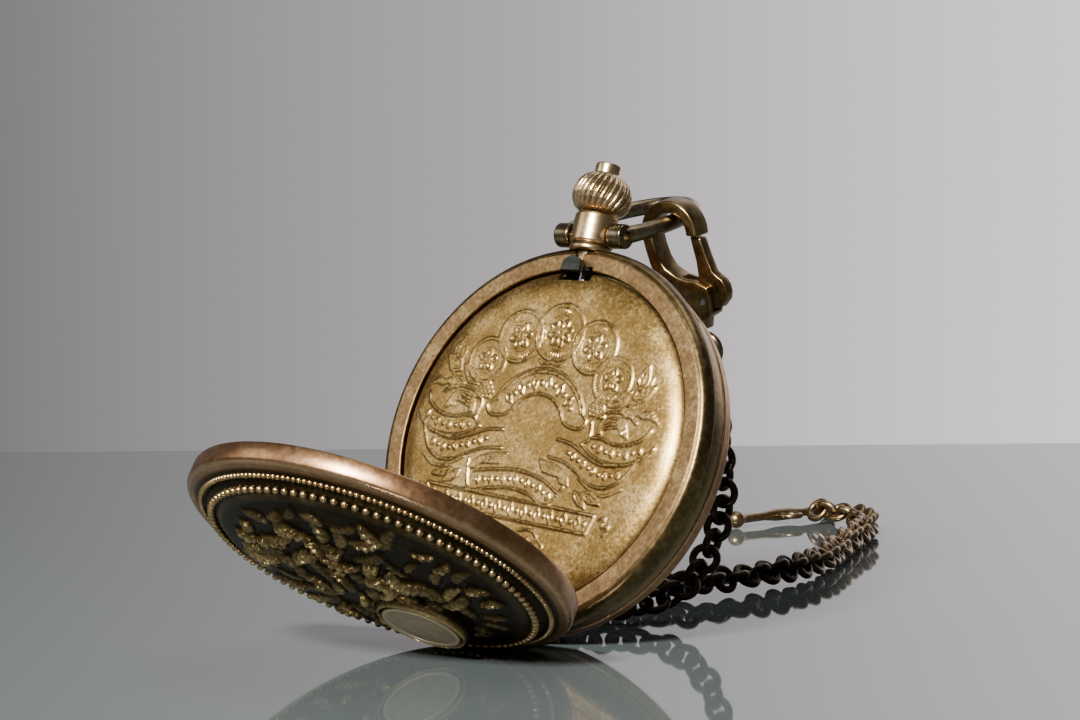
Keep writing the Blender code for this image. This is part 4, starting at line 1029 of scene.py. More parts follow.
            self.smooth([(-14.6 + lift, 1.5 + 0.15 * k), (-13.6 + 0.5 * lift, 3.4 - lift * 0.6),
                         (-11.8, 3.7 - lift),
                         (-10.2 - 0.3 * lift, 2.9 - lift * 0.7), (-10.0 - 0.5 * lift, 1.5)], 0.8, 0.75, True)
            self.smooth([(-18.4 + lift, 4.0 + lift * 0.9), (-17.2 + lift, 4.4 + lift * 0.4),
                         (-16.0, 4.3 + lift * 0.35),
                         (-14.8, 4.9 + 0.3 * lift)], 0.8, 0.7, True)
        self.smooth([(-17.2, -0.6), (-16.4, -2.2), (-15.0, -4.0), (-12.9, -4.9), (-10.5, -4.6), (-8.6, -3.5),
                     (-6.2, -2.6), (-3.8, -2.3)], mirror=True)
        self.smooth([(-14.2, -2.0), (-11.6, -2.1), (-9.1, -1.3), (-6.7, -0.3), (-4.4, 0.0)], mirror=True)
        for sign in (-1, 1):
            banner = ((14.8, -3.0), (12.4, -3.5), (9.6, -2.6), (6.6, -1.4))
            self.frieze([(sign * x, y) for x, y in banner], 0.95, 0.42)
        self.smooth([(-15.9, -4.6), (-13.6, -5.8), (-11.2, -5.3), (-9.2, -4.2)], 0.8, 0.7, True)
        self.smooth([(-6.9, -5.6), (-3.9, -5.0), (0.0, -4.6), (3.9, -5.2), (6.6, -6.4)])
        self.smooth([(-8.4, -4.3), (-7.0, -7.9), (-4.0, -7.4), (-0.7, -6.9), (2.6, -7.3), (5.5, -8.3),
                     (7.4, -5.6)])
        self.frieze([(-6.0, -6.6), (-3.2, -6.1), (0.2, -5.7), (3.4, -6.2), (5.4, -7.1)], 0.95, 0.42)
        for k in range(5):
            drop = 0.38 * k
            self.smooth([(-7.9 + 0.3 * k, -5.4 + 0.05 * k), (-7.2 + 0.25 * k, -4.2 - 0.2 * drop),
                         (-5.2, -3.2 - 0.75 * drop),
                         (-2.6 - 0.2 * k, -2.9 - 0.8 * drop)], 0.8, 0.75, True)
        self.stroke([(-13.6, -8.1), (13.2, -8.3), (12.6, -10.7), (-12.8, -10.6), (-13.6, -8.1)], 1.0, 0.95)
        self.frieze([(-12.4, -9.4), (12.0, -9.5)], 1.05, 0.72)
        for sign in (-1, 1):
            self.grapes((sign * 8.4, 4.9), sign * 0.95)
            self.leaf((sign * 10.4, 5.0), (sign * 13.4, 7.2), 0.8)
            self.leaf((sign * 12.6, 4.9), (sign * 15.2, 4.6), 0.7)
            self.leaf((sign * 13.8, 6.4), (sign * 16.6, 8.2), 0.9)
            self.leaf((sign * 14.4, 7.6), (sign * 14.8, 10.8), 0.75)
            self.leaf((sign * 9.2, -5.9), (sign * 11.4, -7.7), 0.5)
            self.leaf((sign * 10.4, -5.9), (sign * 13.4, -6.9), 0.55)
            self.smooth([(sign * 14.2, 5.4), (sign * 15.4, 6.6), (sign * 15.9, 9.4)], 0.8, 0.7)
            self.smooth([(sign * 13.9, -8.6), (sign * 14.9, -8.4), (sign * 14.6, -9.4), (sign * 15.6, -9.3),
                         (sign * 15.1, -10.4)], 0.9, 0.8)
            self.smooth([(sign * 2.4, -11.7), (sign * 4.4, -11.5), (sign * 5.6, -12.3), (sign * 4.9, -13.1),
                         (sign * 4.1, -12.5)], 0.9, 0.85)
            self.smooth([(sign * 5.6, -12.3), (sign * 6.8, -13.2), (sign * 6.2, -14.1)], 0.9, 0.8)
        self.leaf((0.0, -11.6), (0.0, -14.6), 0.6)
        self.smooth([(-2.0, 9.2), (-1.3, 8.8), (0.0, 9.1), (1.3, 8.8), (2.0, 9.2)], 0.8, 0.7)

    def sample(self, x: np.ndarray, y: np.ndarray, grid: np.ndarray) -> np.ndarray:
        """Read a field at points of the watch's face.

        Args:
            x: Places to the right, in millimetres.
            y: Places towards the crown, in millimetres.
            grid: Field to read, such as the drawn heights.

        Returns:
            Heights between 0 and 1.
        """
        fx = np.clip((x + self.half) / self.pitch, 0, self.size - 1.001)
        fy = np.clip((y + self.half) / self.pitch, 0, self.size - 1.001)
        i, j = fx.astype(int), fy.astype(int)
        sx, sy = fx - i, fy - j
        return ((grid[i, j] * (1 - sx) + grid[i + 1, j] * sx) * (1 - sy)
                + (grid[i, j + 1] * (1 - sx) + grid[i + 1, j + 1] * sx) * sy)

    def hollow(self) -> np.ndarray:
        """Blurred field, high close beside the lines."""
        soft = self.height.copy()
        for _ in range(5):
            soft[1:-1, 1:-1] = (soft[1:-1, 1:-1] * 2 + soft[:-2, 1:-1] + soft[2:, 1:-1] + soft[1:-1, :-2]
                                + soft[1:-1, 2:]) / 6
        return soft


@dataclass
class DustCover:
    """Inner cover: shallow dome with a rolled edge, raised ornament and a slot for the latch."""

    radius: float = 21.05
    dome: float = 0.75
    wall: float = 0.5
    roll: float = 6.0
    slot_half: float = 2.5
    slot_depth: float = 1.15
    relief: float = 0.19
    rings: int = 138
    steps: int = 560

    def top(self, reach: np.ndarray) -> np.ndarray:
        """Local Y of the outer face at a distance from the centre."""
        shares = [0.0, 0.03, 0.06, 0.11, 0.17, 0.25, 0.34, 0.46, 0.6, 0.78, 1.0]
        falls = [1.0, 0.84, 0.74, 0.6, 0.47, 0.34, 0.235, 0.145, 0.075, 0.02, 0.0]
        share = (self.radius - reach) / self.roll
        fall = np.interp(share, shares, falls)
        return -self.dome + fall * (self.dome + 0.4) + 0.04 * np.clip(reach / self.radius, 0, 1) ** 2

    def build(self) -> bpy.types.Object:
        """Make the cover.

        Returns:
            The finished cover.
        """
        engraving = Engraving()
        reach = np.linspace(0, self.radius, self.rings + 1)
        reach = np.concatenate([reach[:-8], self.radius - np.array([1.1, 0.95, 0.8, 0.65, 0.5, 0.36, 0.24, 0.14, 0.06, 0.0])])
        heights = self.top(reach)
        outline = list(zip(reach.tolist(), heights.tolist()))
        outline += [(self.radius, 0.75), (self.radius, 1.0), (self.radius - self.wall, 1.0)]
        inner = [self.radius - self.wall - 0.15, 19.4, 18.0, 16.0, 12.0, 6.0, 0.0]
        outline += [(r, float(self.top(np.array(min(r, self.radius - 0.75)))) + self.wall) for r in inner]
        piece = loose("dust_cover_disc", turned(outline, self.steps, Axis.Y), Matrix.Identity(4))
        count = len(piece.data.vertices)
        spots = np.empty(count * 3)
        piece.data.vertices.foreach_get("co", spots)
        spots = spots.reshape(-1, 3) / MM
        front = self.top(np.hypot(spots[:, 0], spots[:, 2])) > spots[:, 1] - 0.02
        lift = engraving.sample(spots[:, 0], spots[:, 2], engraving.height)
        spots[:, 1] -= np.where(front, lift * self.relief, 0.0)
        piece.data.vertices.foreach_set("co", (spots * MM).ravel())
        piece.data.transform(WATCH)
        cutter = block((-self.slot_half, -1.5, self.radius - self.slot_depth),
                       (self.slot_half, 1.5, self.radius + 1))
        carve(piece, [("DIFFERENCE", cutter)], WATCH)
        self.patina(piece, engraving)
        return dress(settled(piece, 40), "case", COVER_BRASS, "antique_brass", "dust_cover")

    def patina(self, piece: bpy.types.Object, engraving: Engraving) -> None:
        """Store bright crests and dark lines beside them as wear.

        Args:
            piece: Cover mesh in the row's frame.
            engraving: Ornament that it carries.
        """
        count = len(piece.data.vertices)
        spots = np.empty(count * 3)
        piece.data.vertices.foreach_get("co", spots)
        back = np.array(WATCH.inverted())
        local = (spots.reshape(-1, 3) @ back[:3, :3].T + back[:3, 3]) / MM
        crest = engraving.sample(local[:, 0], local[:, 2], engraving.height)
        near = engraving.sample(local[:, 0], local[:, 2], engraving.hollow())
        reach = np.hypot(local[:, 0], local[:, 2])
        edge = np.clip((reach - self.radius + 1.3) / 1.3, 0, 1)
        wear = np.clip(crest * 1.3, 0, 1) * 0.95 - np.clip(near * 3.0 - crest * 1.9, 0,
                                                           1) * 0.85 - edge * 0.45
        layer = piece.data.attributes.get("wear") or piece.data.attributes.new("wear", "FLOAT", "POINT")
        layer.data.foreach_set("value", wear.astype(np.float32))


# ---- back cover -----------------------------------------------------------------------------
@dataclass
class BackCover:
    """Open outer cover: polished wall, two rows of beads and a high relief round a plain plate."""

    radius: float = 23.65
    rim: float = 2.62
    wall: float = 1.05
    offset: float = 0.25
    hinge: float = 23.44
    outer_row: tuple[float, float, float] = (21.48, 3.25, 0.34)
    inner_row: tuple[float, float, float] = (19.87, 4.17, 0.46)
    outer_beads: int = 190
    inner_beads: int = 98
    relief_edge: float = 18.4
    plate: tuple[float, float, float] = (2.5, -8.45, 4.8)
    plate_height: float = 7.35
    floor: float = 5.1
    steps: int = 420
    rings: int = 120

    def at(self, height: float) -> float:
        """Local Y of a height above the rim."""
        return -(height + self.offset)

    def scene(self, x: np.ndarray, z: np.ndarray) -> tuple[np.ndarray, np.ndarray]:
        """Height of the relief above the rim, and its wear.

        Args:
            x: Places to the right of the cover's centre.
            z: Places up from the cover's centre.

        Returns:
            Heights in millimetres, and wear from -1 in hollows to 1 on crests.
        """
        reach = np.hypot(x, z)
        base = 4.6 + 1.5 * (1 - np.clip(reach / self.relief_edge, 0, 1) ** 2)
        lift = np.zeros_like(x)
        rng = np.random.default_rng(12)
        for ring, count, size in ((2.6, 6, 2.2), (5.6, 11, 2.1), (8.8, 16, 2.0), (12.0, 22, 1.9),
                                  (15.2, 30, 1.75)):
            for k in range(count):
                angle = 2 * pi * (k + rng.uniform(-0.35, 0.35)) / count + ring
                away = ring + rng.uniform(-0.7, 0.7)
                cx, cz = away * cos(angle), away * sin(angle)
                lean = angle + rng.uniform(-1.3, 1.3)
                along = (x - cx) * cos(lean) + (z - cz) * sin(lean)
                across = -(x - cx) * sin(lean) + (z - cz) * cos(lean)
                long_, wide = size * rng.uniform(0.9, 1.6), size * rng.uniform(0.34, 0.58)
                bend = across + 0.3 * along ** 2 / long_ * rng.choice([-1.0, 1.0])
                inside = 1 - (along / long_) ** 2 - (bend / wide) ** 2
                rib = 0.84 + 0.16 * np.cos(along * 6.0 + np.abs(bend) * 4.5)
                tall = rng.uniform(0.45, 1.0)
                lift = np.maximum(lift, tall * rib * np.clip(inside, 0, 1) ** 0.6)
        for _ in range(16):
            away, angle = rng.uniform(3.0, 16.2), rng.uniform(0, 2 * pi)
            near = np.hypot(x - away * cos(angle), z - away * sin(angle)) / rng.uniform(0.8, 1.25)
            turn = np.arctan2(z - away * sin(angle), x - away * cos(angle))
            petal = 0.8 + 0.2 * np.cos(5 * turn)
            boss = np.clip(1 - (near / petal) ** 2, 0, 1) ** 0.5 - 0.35 * np.exp(-(near / 0.3) ** 2)
            lift = np.maximum(lift, boss)
        fade = np.clip((self.relief_edge - reach) / 0.9, 0, 1)
        top = self.plate_height - 0.15 - 0.055 * np.clip(reach - 6.0, 0, None) ** 1.35
        height = base + np.clip(top - base, 0.2, None) * lift * 0.98
        height = height * fade + 4.62 * (1 - fade)
        px, pz, size = self.plate
        away = np.hypot(x - px, z - pz)
        collar = np.exp(-((away - size - 0.55) / 0.3) ** 2)
        height = np.where(away < size + 1.15, 6.3 + collar, height)
        lift = np.where(away < size + 1.15, collar, lift)
        return height, np.clip(lift * 2.5 - 1.2, -0.85, 1.0) * fade - 0.6 * (1 - fade)

    def shell(self) -> bpy.types.Object:
        """Cover with its wall, cove, relief, lining, knuckle and plate pocket."""
        r, rim = self.radius, self.rim
        or_, oh, _ = self.outer_row
        ir, ih, _ = self.inner_row
        inside = np.linspace(0, self.relief_edge, self.rings).tolist()
        outline: list[Point2] = [(value, self.at(4.6)) for value in inside]
        border = [(ir - 1.0, ih + 0.2), (ir - 0.6, ih - 0.1), (ir + 0.5, ih - 0.25), (ir + 0.75, ih - 0.6),
                  (or_ - 0.55, oh - 0.1), (or_ - 0.3, oh - 0.05), (or_ + 0.3, oh - 0.1), (or_ + 0.55, oh - 0.35),
                  (r - 0.95, rim + 0.12), (r - 0.45, rim), (r - 0.12, rim - 0.28), (r, rim - 0.55), (r, 0.35),
                  (r - 0.12, 0.06), (r - 0.3, 0.0), (r - self.wall + 0.1, 0.0), (r - self.wall, 0.12),
                  (r - self.wall, 1.6), (r - self.wall - 0.25,
                                         2.0), (r - self.wall - 0.8, 2.15), (ir - 0.9, 3.0),
                  (0.72 * ir, self.floor - 0.9), (0.4 * ir, self.floor - 0.25), (0, self.floor)]
        outline += [(radius, self.at(height)) for radius, height in border]
        wear = [0.0] * len(inside) + [-0.5, -0.9, -0.9, -0.9, -0.95, -0.7, -0.7, -0.95, -0.1, 0.75, 0.6, 0.1,
                                      0.1, 0.5,
                                      0.6, 0.5, -0.2, -0.5, -0.6, -0.3, 0.0, 0.0, 0.0, 0.0]
        shape = turned(outline, self.steps, Axis.Y, (0, 0, self.hinge), wear)
        layer = shape.verts.layers.float["wear"]
        field_verts = [v for v in shape.verts if abs(v.co.y - self.at(4.6)) < 1e-6]
        xs = np.array([v.co.x for v in field_verts])
        zs = np.array([v.co.z - self.hinge for v in field_verts])
        heights, worn = self.scene(xs, zs)
        for vert, height, value in zip(field_verts, heights.tolist(), worn.tolist()):
            vert.co.y = self.at(height)
            vert[layer] = value
        piece = loose("back_cover_shell", shape, COVER)
        clear, half = 1.1, 6.6
        tools = []
        for side in (-1, 1):
            low, high = sorted((side * 2.3, side * half))
            tools.append(("DIFFERENCE", block((low, -clear, -1.6), (high, 0.5, clear))))
        catch = self.hinge + self.radius - self.wall
        tools.append(("DIFFERENCE", block((-1.7, self.at(1.6), catch - 0.5),
                                          (1.7, self.at(-0.5), catch + 0.45))))
        knuckle = rounded([(0.4, -2.3), (0.8, -2.3), (0.8, 2.3), (0.4, 2.3)], 0.08)[0]
        tools.append(("UNION", turned(knuckle, 40, Axis.X)))
        tools.append(("DIFFERENCE", turned([(0, -3.3), (0.4, -3.3), (0.4, 3.3), (0, 3.3)], 32, Axis.X)))
        px, pz, size = self.plate
        pocket = [(0, self.at(self.plate_height - 1.2)), (size + 0.1, self.at(self.plate_height - 1.2)),
                  (size + 0.1, self.at(9.5)), (0, self.at(9.5))]
        tools.append(("DIFFERENCE", turned(pocket, 96, Axis.Y, (px, 0, self.hinge + pz))))
        carve(piece, tools, COVER)
        dress(piece, "lid", LID_COPPER, "copper_brass", "back_cover")
        piece.data.materials.append(Finishes.get(RELIEF_BRASS))
        back = COVER.inverted()
        for face in piece.data.polygons:
            spot = back @ face.center / MM
            reach = sqrt(spot.x ** 2 + (spot.z - self.hinge) ** 2)
            if reach < or_ + 0.6 and spot.y < self.at(2.9 if reach > 19 else 4.3 if reach > 15 else 5.2):
                face.material_index = 1
        return piece

    def bead_rows(self) -> None:
        """Two rows of beads round the relief."""
        tree = bead_ring_tree()
        for label, (radius, height, size), count in (("outer", self.outer_row, self.outer_beads),
                                                     ("inner", self.inner_row, self.inner_beads)):
            row = tree.grow(f"{label}_beads", seed_mesh("beads"),
                            {"Count": count, "Radius": radius * MM, "Bead radius": size * MM,
                             "Finish": Finishes.get(BEAD_BRASS)})
            row.data.transform(COVER @ Matrix.Translation((0, self.at(height) * MM, self.hinge * MM)))
            dress(row, "lid", BEAD_BRASS, "copper_brass")

    def name_plate(self) -> bpy.types.Object:
        """Plain polished plate in the relief, with a thin raised rim."""
        px, pz, size = self.plate
        top, low = self.plate_height, self.plate_height - 0.9
        outline = [(0, self.at(low)), (size, self.at(low)), (size, self.at(top - 0.1)),
                   (size - 0.1, self.at(top)),
                   (size - 0.4, self.at(top)), (size - 0.5, self.at(top - 0.16)), (size * 0.5, self.at(top - 0.06)),
                   (0, self.at(top - 0.02))]
        profile, _ = rounded(outline, 0.07, closed=False)
        wear = [1.0 if size - 0.55 < radius else 0.15 for radius, _ in profile]
        piece = loose("name_plate_disc", turned(profile, 128, Axis.Y, (px, 0, self.hinge + pz), wear), COVER)
        return dress(settled(piece, 40), "lid", PLATE_BRASS, "movement_brass", "name_plate")

    def build(self) -> None:
        """Make the cover's pieces."""
        self.shell()
        self.bead_rows()
        self.name_plate()


# ---- latch, pendant, crown, bow -------------------------------------------------------------
@dataclass
class Latch:
    """Steel catch in its slot."""

    half: float = 1.4
    top: float = 22.8

    def build(self) -> None:
        """Make the catch with rounded edges, its strip and its tail."""
        head = [(-self.half, 20.95), (self.half, 20.95), *arc((0, self.top - self.half), self.half, 0, 180, 20)]
        piece = loose("latch_catch", prism(head, -1.3, -0.3), WATCH)
        carve(piece, [("UNION", block((0.85, -0.8, 20.95), (1.5, 3.45, 21.35))),
                      ("UNION", block((-0.6, 3.15, 13.2), (1.5, 3.45, 21.35))),
                      ("UNION", block((-0.6, 1.25, 13.2), (0.6, 3.35, 13.7)))], WATCH)
        soften(piece, 0.14, 3)
        dress(settled(piece), "latch_slide", LATCH_STEEL, "steel", "latch")


@dataclass
class Crown:
    """Pendant, fluted crown, push button and bow."""

    depth: float = 1.75
    collar_bottom: float = 24.95
    collar_top: float = 28.75
    collar_radius: float = 2.72
    radius: float = 3.72
    height: float = 5.1
    ribs: int = 24
    rib_depth: float = 0.34
    bow_pivot: float = 26.3
    bow_half: float = 6.2
    bow_length: float = 10.2
    bow_wire: float = 1.0
    bow_end: float = 4.2

    def pendant(self) -> bpy.types.Object:
        """Neck ring and collar, with the bow's pivots."""
        low, top, collar = self.collar_bottom, self.collar_top, self.collar_radius
        outline = [(0.65, 21.5), (1.55, 21.5), (1.55, 23.95), (2.45, 23.95), (2.62, 24.15), (2.62, 24.5),
                   (2.35, 24.8), (2.3, low), (collar - 0.1, low + 0.08), (collar, low + 0.25),
                   (collar, top - 0.25), (collar - 0.15, top), (0.65, top)]
        profile, wear = rounded(outline, 0.1)
        piece = loose("pendant_collar", turned(profile, 96, Axis.Z, (0, self.depth, 0), wear), WATCH)
        tools = []
        for side in (-1, 1):
            near, far = sorted((side * (collar - 0.5), side * (self.bow_end + 0.75)))
            pivot = [(0, near), (0.55, near), (0.55, far), (0, far)]
            tools.append(("UNION", turned(pivot, 24, Axis.X, (0, self.depth, self.bow_pivot))))
        carve(piece, tools, WATCH)
        return dress(piece, "case", CROWN_BRASS, "antique_brass", "pendant")

    def onion(self) -> bpy.types.Object:
        """Onion crown with slanting round ribs and dark grooves."""
        bottom = self.collar_top + 0.3
        rings, per_rib = 40, 10
        steps = self.ribs * per_rib
        shares = ((0.0, 0.56), (0.04, 0.72), (0.12, 0.86), (0.25, 0.96), (0.4, 1.0), (0.55, 0.99),
                  (0.7, 0.93),
                  (0.82, 0.83), (0.92, 0.69), (1.0, 0.5))
        shape = bmesh.new()
        layer = shape.verts.layers.float.new("wear")
        loops = []
        for i in range(rings + 1):
            rise = i / rings
            share = float(np.interp(rise, [a for a, _ in shares], [b for _, b in shares]))
            fluted = self.rib_depth * min(1.0, 4.5 * rise, 4.5 * (1 - rise))
            twist = 0.5 * (rise - 0.5)
            loop = []
            for k in range(steps):
                angle = 2 * pi * k / steps + twist
                crest = abs(cos(pi * k / per_rib)) ** 0.7
                reach = self.radius * share - fluted * (1 - crest)
                vert = shape.verts.new((reach * cos(angle), reach * sin(angle), bottom + rise * self.height))
                vert[layer] = 0.75 * crest - 0.95 * (1 - crest) * min(1.0, fluted * 4)
                loop.append(vert)
            loops.append(loop)
        for low, high in zip(loops, loops[1:]):
            for k in range(steps):
                shape.faces.new((low[k], low[(k + 1) % steps], high[(k + 1) % steps], high[k]))
        shape.faces.new(loops[0])
        shape.faces.new(loops[-1])
        bmesh.ops.translate(shape, vec=(0, self.depth, 0), verts=shape.verts)
        piece = loose("crown_onion", shape, WATCH)
        top = bottom + self.height
        well = [(0, top - 1.3), (1.65, top - 1.3), (1.65, top + 1), (0, top + 1)]
        bore = [(0, bottom - 1), (0.65, bottom - 1), (0.65, top - 1.1), (0, top - 1.1)]
        carve(piece, [("DIFFERENCE", turned(well, 48, Axis.Z, (0, self.depth, 0))),
                      ("DIFFERENCE", turned(bore, 24, Axis.Z, (0, self.depth, 0)))], WATCH)
        return dress(settled(piece, 50), "winding_crown", CROWN_BRASS, "antique_brass", "crown")

    def button(self) -> bpy.types.Object:
        """Push button with a soft edge, and its rod."""
        top = self.collar_top + 0.3 + self.height
        outline = [(0, 13.9), (0.25, 13.9), (0.25, top - 0.3), (1.6, top - 0.3), (1.6, top + 1.2),
                   (1.45, top + 1.35),
                   (0, top + 1.35)]
        profile, wear = rounded(outline, 0.12, closed=False)
        piece = loose("push_button_cap", turned(profile, 64, Axis.Z, (0, self.depth, 0), wear), WATCH)
        return dress(settled(piece), "button", CROWN_BRASS, "antique_brass", "push_button")

    def bow_line(self, share: float) -> Vector:
        """Centre line of the bow in its own frame."""
        centre = self.bow_length * sqrt(1 - (self.bow_end / self.bow_half) ** 2)
        start = atan2(self.bow_end / self.bow_half, -centre / self.bow_length)
        angle = start * (1 - 2 * share)
        return Vector((self.bow_half * sin(angle), 0, centre + self.bow_length * cos(angle)))

    def bow(self) -> bpy.types.Object:
        """Round bow with flattened eyes on the pivots."""
        seat = WATCH @ Matrix.Translation((0, self.depth * MM, self.bow_pivot * MM)) @ Matrix.Rotation(
            -radians(58.0), 4, "X")
        path = [self.bow_line(0.015 + 0.97 * k / 110) for k in range(111)]

        def girth(place: float) -> float:
            """Wire radius, a little fuller near the eyes."""
            return self.bow_wire * (1 + 0.12 * max(0.0, 1 - min(place, 1 - place) / 0.08))

        piece = loose("bow_wire", swept(path, girth, 28, Vector((0, 1, 0))), seat)
        tools = []
        for side in (-1, 1):
            near, far = sorted((side * (self.collar_radius + 0.3), side * (self.bow_end + 1.0)))
            eye = rounded([(0, near), (1.55, near), (1.55, far), (0, far)], 0.35, closed=False, steps=5)[0]
            tools.append(("UNION", turned(eye, 56, Axis.X)))
        pin = [(0, -self.bow_end - 2), (0.6, -self.bow_end - 2), (0.6, self.bow_end + 2),
               (0, self.bow_end + 2)]
        tools.append(("DIFFERENCE", turned(pin, 32, Axis.X)))
        carve(piece, tools, seat)
        return dress(settled(piece, 50), "bow_body", BOW_BRONZE, "dark_bronze", "bow")

    def build(self) -> None:
        """Make the pendant, crown, button and bow."""
        self.pendant()
        self.onion()
        self.button()
        self.bow()


# ---- clasp ----------------------------------------------------------------------------------
@dataclass
class Clasp:
    """Trigger clasp: creased hook and body, sprung gate and swivel eye, with holes for the pin."""

    half: float = 4.1
    wall: float = 1.55
    thick: float = 3.0
    length: float = 16.8
    gate_thick: float = 1.5
    pivot: Point2 = (2.35, -9.2)

    def seat(self) -> Matrix:
        """Frame of the clasp, its origin at the hook's centre."""
        top = Vector(joint("swivel_turn")["pos_m"]) + CLASP_UP * (self.length - self.half) * MM
        return basis(CLASP_ACROSS, CLASP_THROUGH, CLASP_UP, top)

    def body(self) -> bpy.types.Object:
        """Hook and body, rounded all along, with the gate's slot."""
        half, inner, length = self.half, self.half - self.wall, self.length
        outer_points = [*arc((0, 0), half, -18, 180, 40), (-half, -1.5), (-half + 0.08, -3.2),
                        (-half + 0.5, -5.6),
                        (-half + 1.1, -7.8), (-half + 1.9, -9.8), (-1.5, -length + half + 1.2), (-1.0, -length + half),
                        (1.0, -length + half), (1.5, -length + half + 1.2), (3.0, -11.0), (3.5, -9.4), (3.6, -7.6)]
        inner_points = [(1.9, -6.4), (0.7, -6.1), (-0.6, -5.4), (-inner + 0.7, -4.2), (-inner + 0.15, -2.8),
                        (-inner, -1.4), *arc((0, 0), inner, 180, -18, 32)]
        piece = loose("clasp_hook", prism(outer_points + inner_points, -self.thick / 2, self.thick / 2),
                      self.seat())
        soften(piece, 0.42, 4, 50.0)
        settled(piece, 60)
        slot = self.gate_thick / 2 + 0.1
        pin = [(0, -self.thick), (0.45, -self.thick), (0.45, self.thick), (0, self.thick)]
        bore = [(0, -length), (0.55, -length), (0.55, -length + half + 1.6), (0, -length + half + 1.6)]
        carve(piece, [("DIFFERENCE", block((-0.2, -slot, -10.7), (6, slot, -1.9))),
                      ("DIFFERENCE", turned(pin, 24, Axis.Y, (self.pivot[0], 0, self.pivot[1]))),
                      ("DIFFERENCE", turned(bore, 24, Axis.Z))], self.seat())
        return dress(piece, "bow_body", CLASP_BRONZE, "dark_bronze", "clasp_body")

    def gate(self) -> bpy.types.Object:
        """Gate with its thumb lever."""
        half, inner = self.half, self.half - self.wall
        outline = [(inner - 0.05, -1.02), (half - 0.15, -1.5), (half + 0.05, -4.0), (half + 0.35, -5.9),
                   (half + 0.9, -6.6),
                   (half + 1.4, -7.1), (half + 1.68, -7.9), (half + 1.66, -8.8), (half + 1.3, -9.6), (half + 0.2, -10.4),
                   (1.4, -10.2), (1.1, -9.0), (2.1, -7.0), (2.45, -4.4)]
        piece = loose("clasp_trigger", prism(outline, -self.gate_thick / 2, self.gate_thick / 2), self.seat())
        pin = [(0, -2), (0.45, -2), (0.45, 2), (0, 2)]
        carve(piece, [("DIFFERENCE", turned(pin, 24, Axis.Y, (self.pivot[0], 0, self.pivot[1])))],
              self.seat())
        soften(piece, 0.16, 3)
        return dress(settled(piece), "gate", CLASP_BRONZE, "dark_bronze", "clasp_gate")

    def swivel(self) -> bpy.types.Object:
        """Round eye on a turning post."""
        eye_top = -self.length + self.half
        ring = arc((1.9, 0), 0.5, 0, 345, 23)
        piece = loose("clasp_eye", turned(ring, 64, Axis.Y, (0, 0, eye_top - 2.5)), self.seat())
        post = rounded([(0, eye_top - 0.9), (0.5, eye_top - 0.9), (0.5, eye_top + 1.0), (0, eye_top + 1.0)],
                       0.1, False)[0]
        carve(piece, [("UNION", turned(post, 32, Axis.Z))], self.seat())
        return dress(piece, "swivel", BOW_BRONZE, "dark_bronze", "clasp_swivel")

    def build(self) -> None:
        """Make the clasp's pieces."""
        self.body()
        self.gate()
        self.swivel()


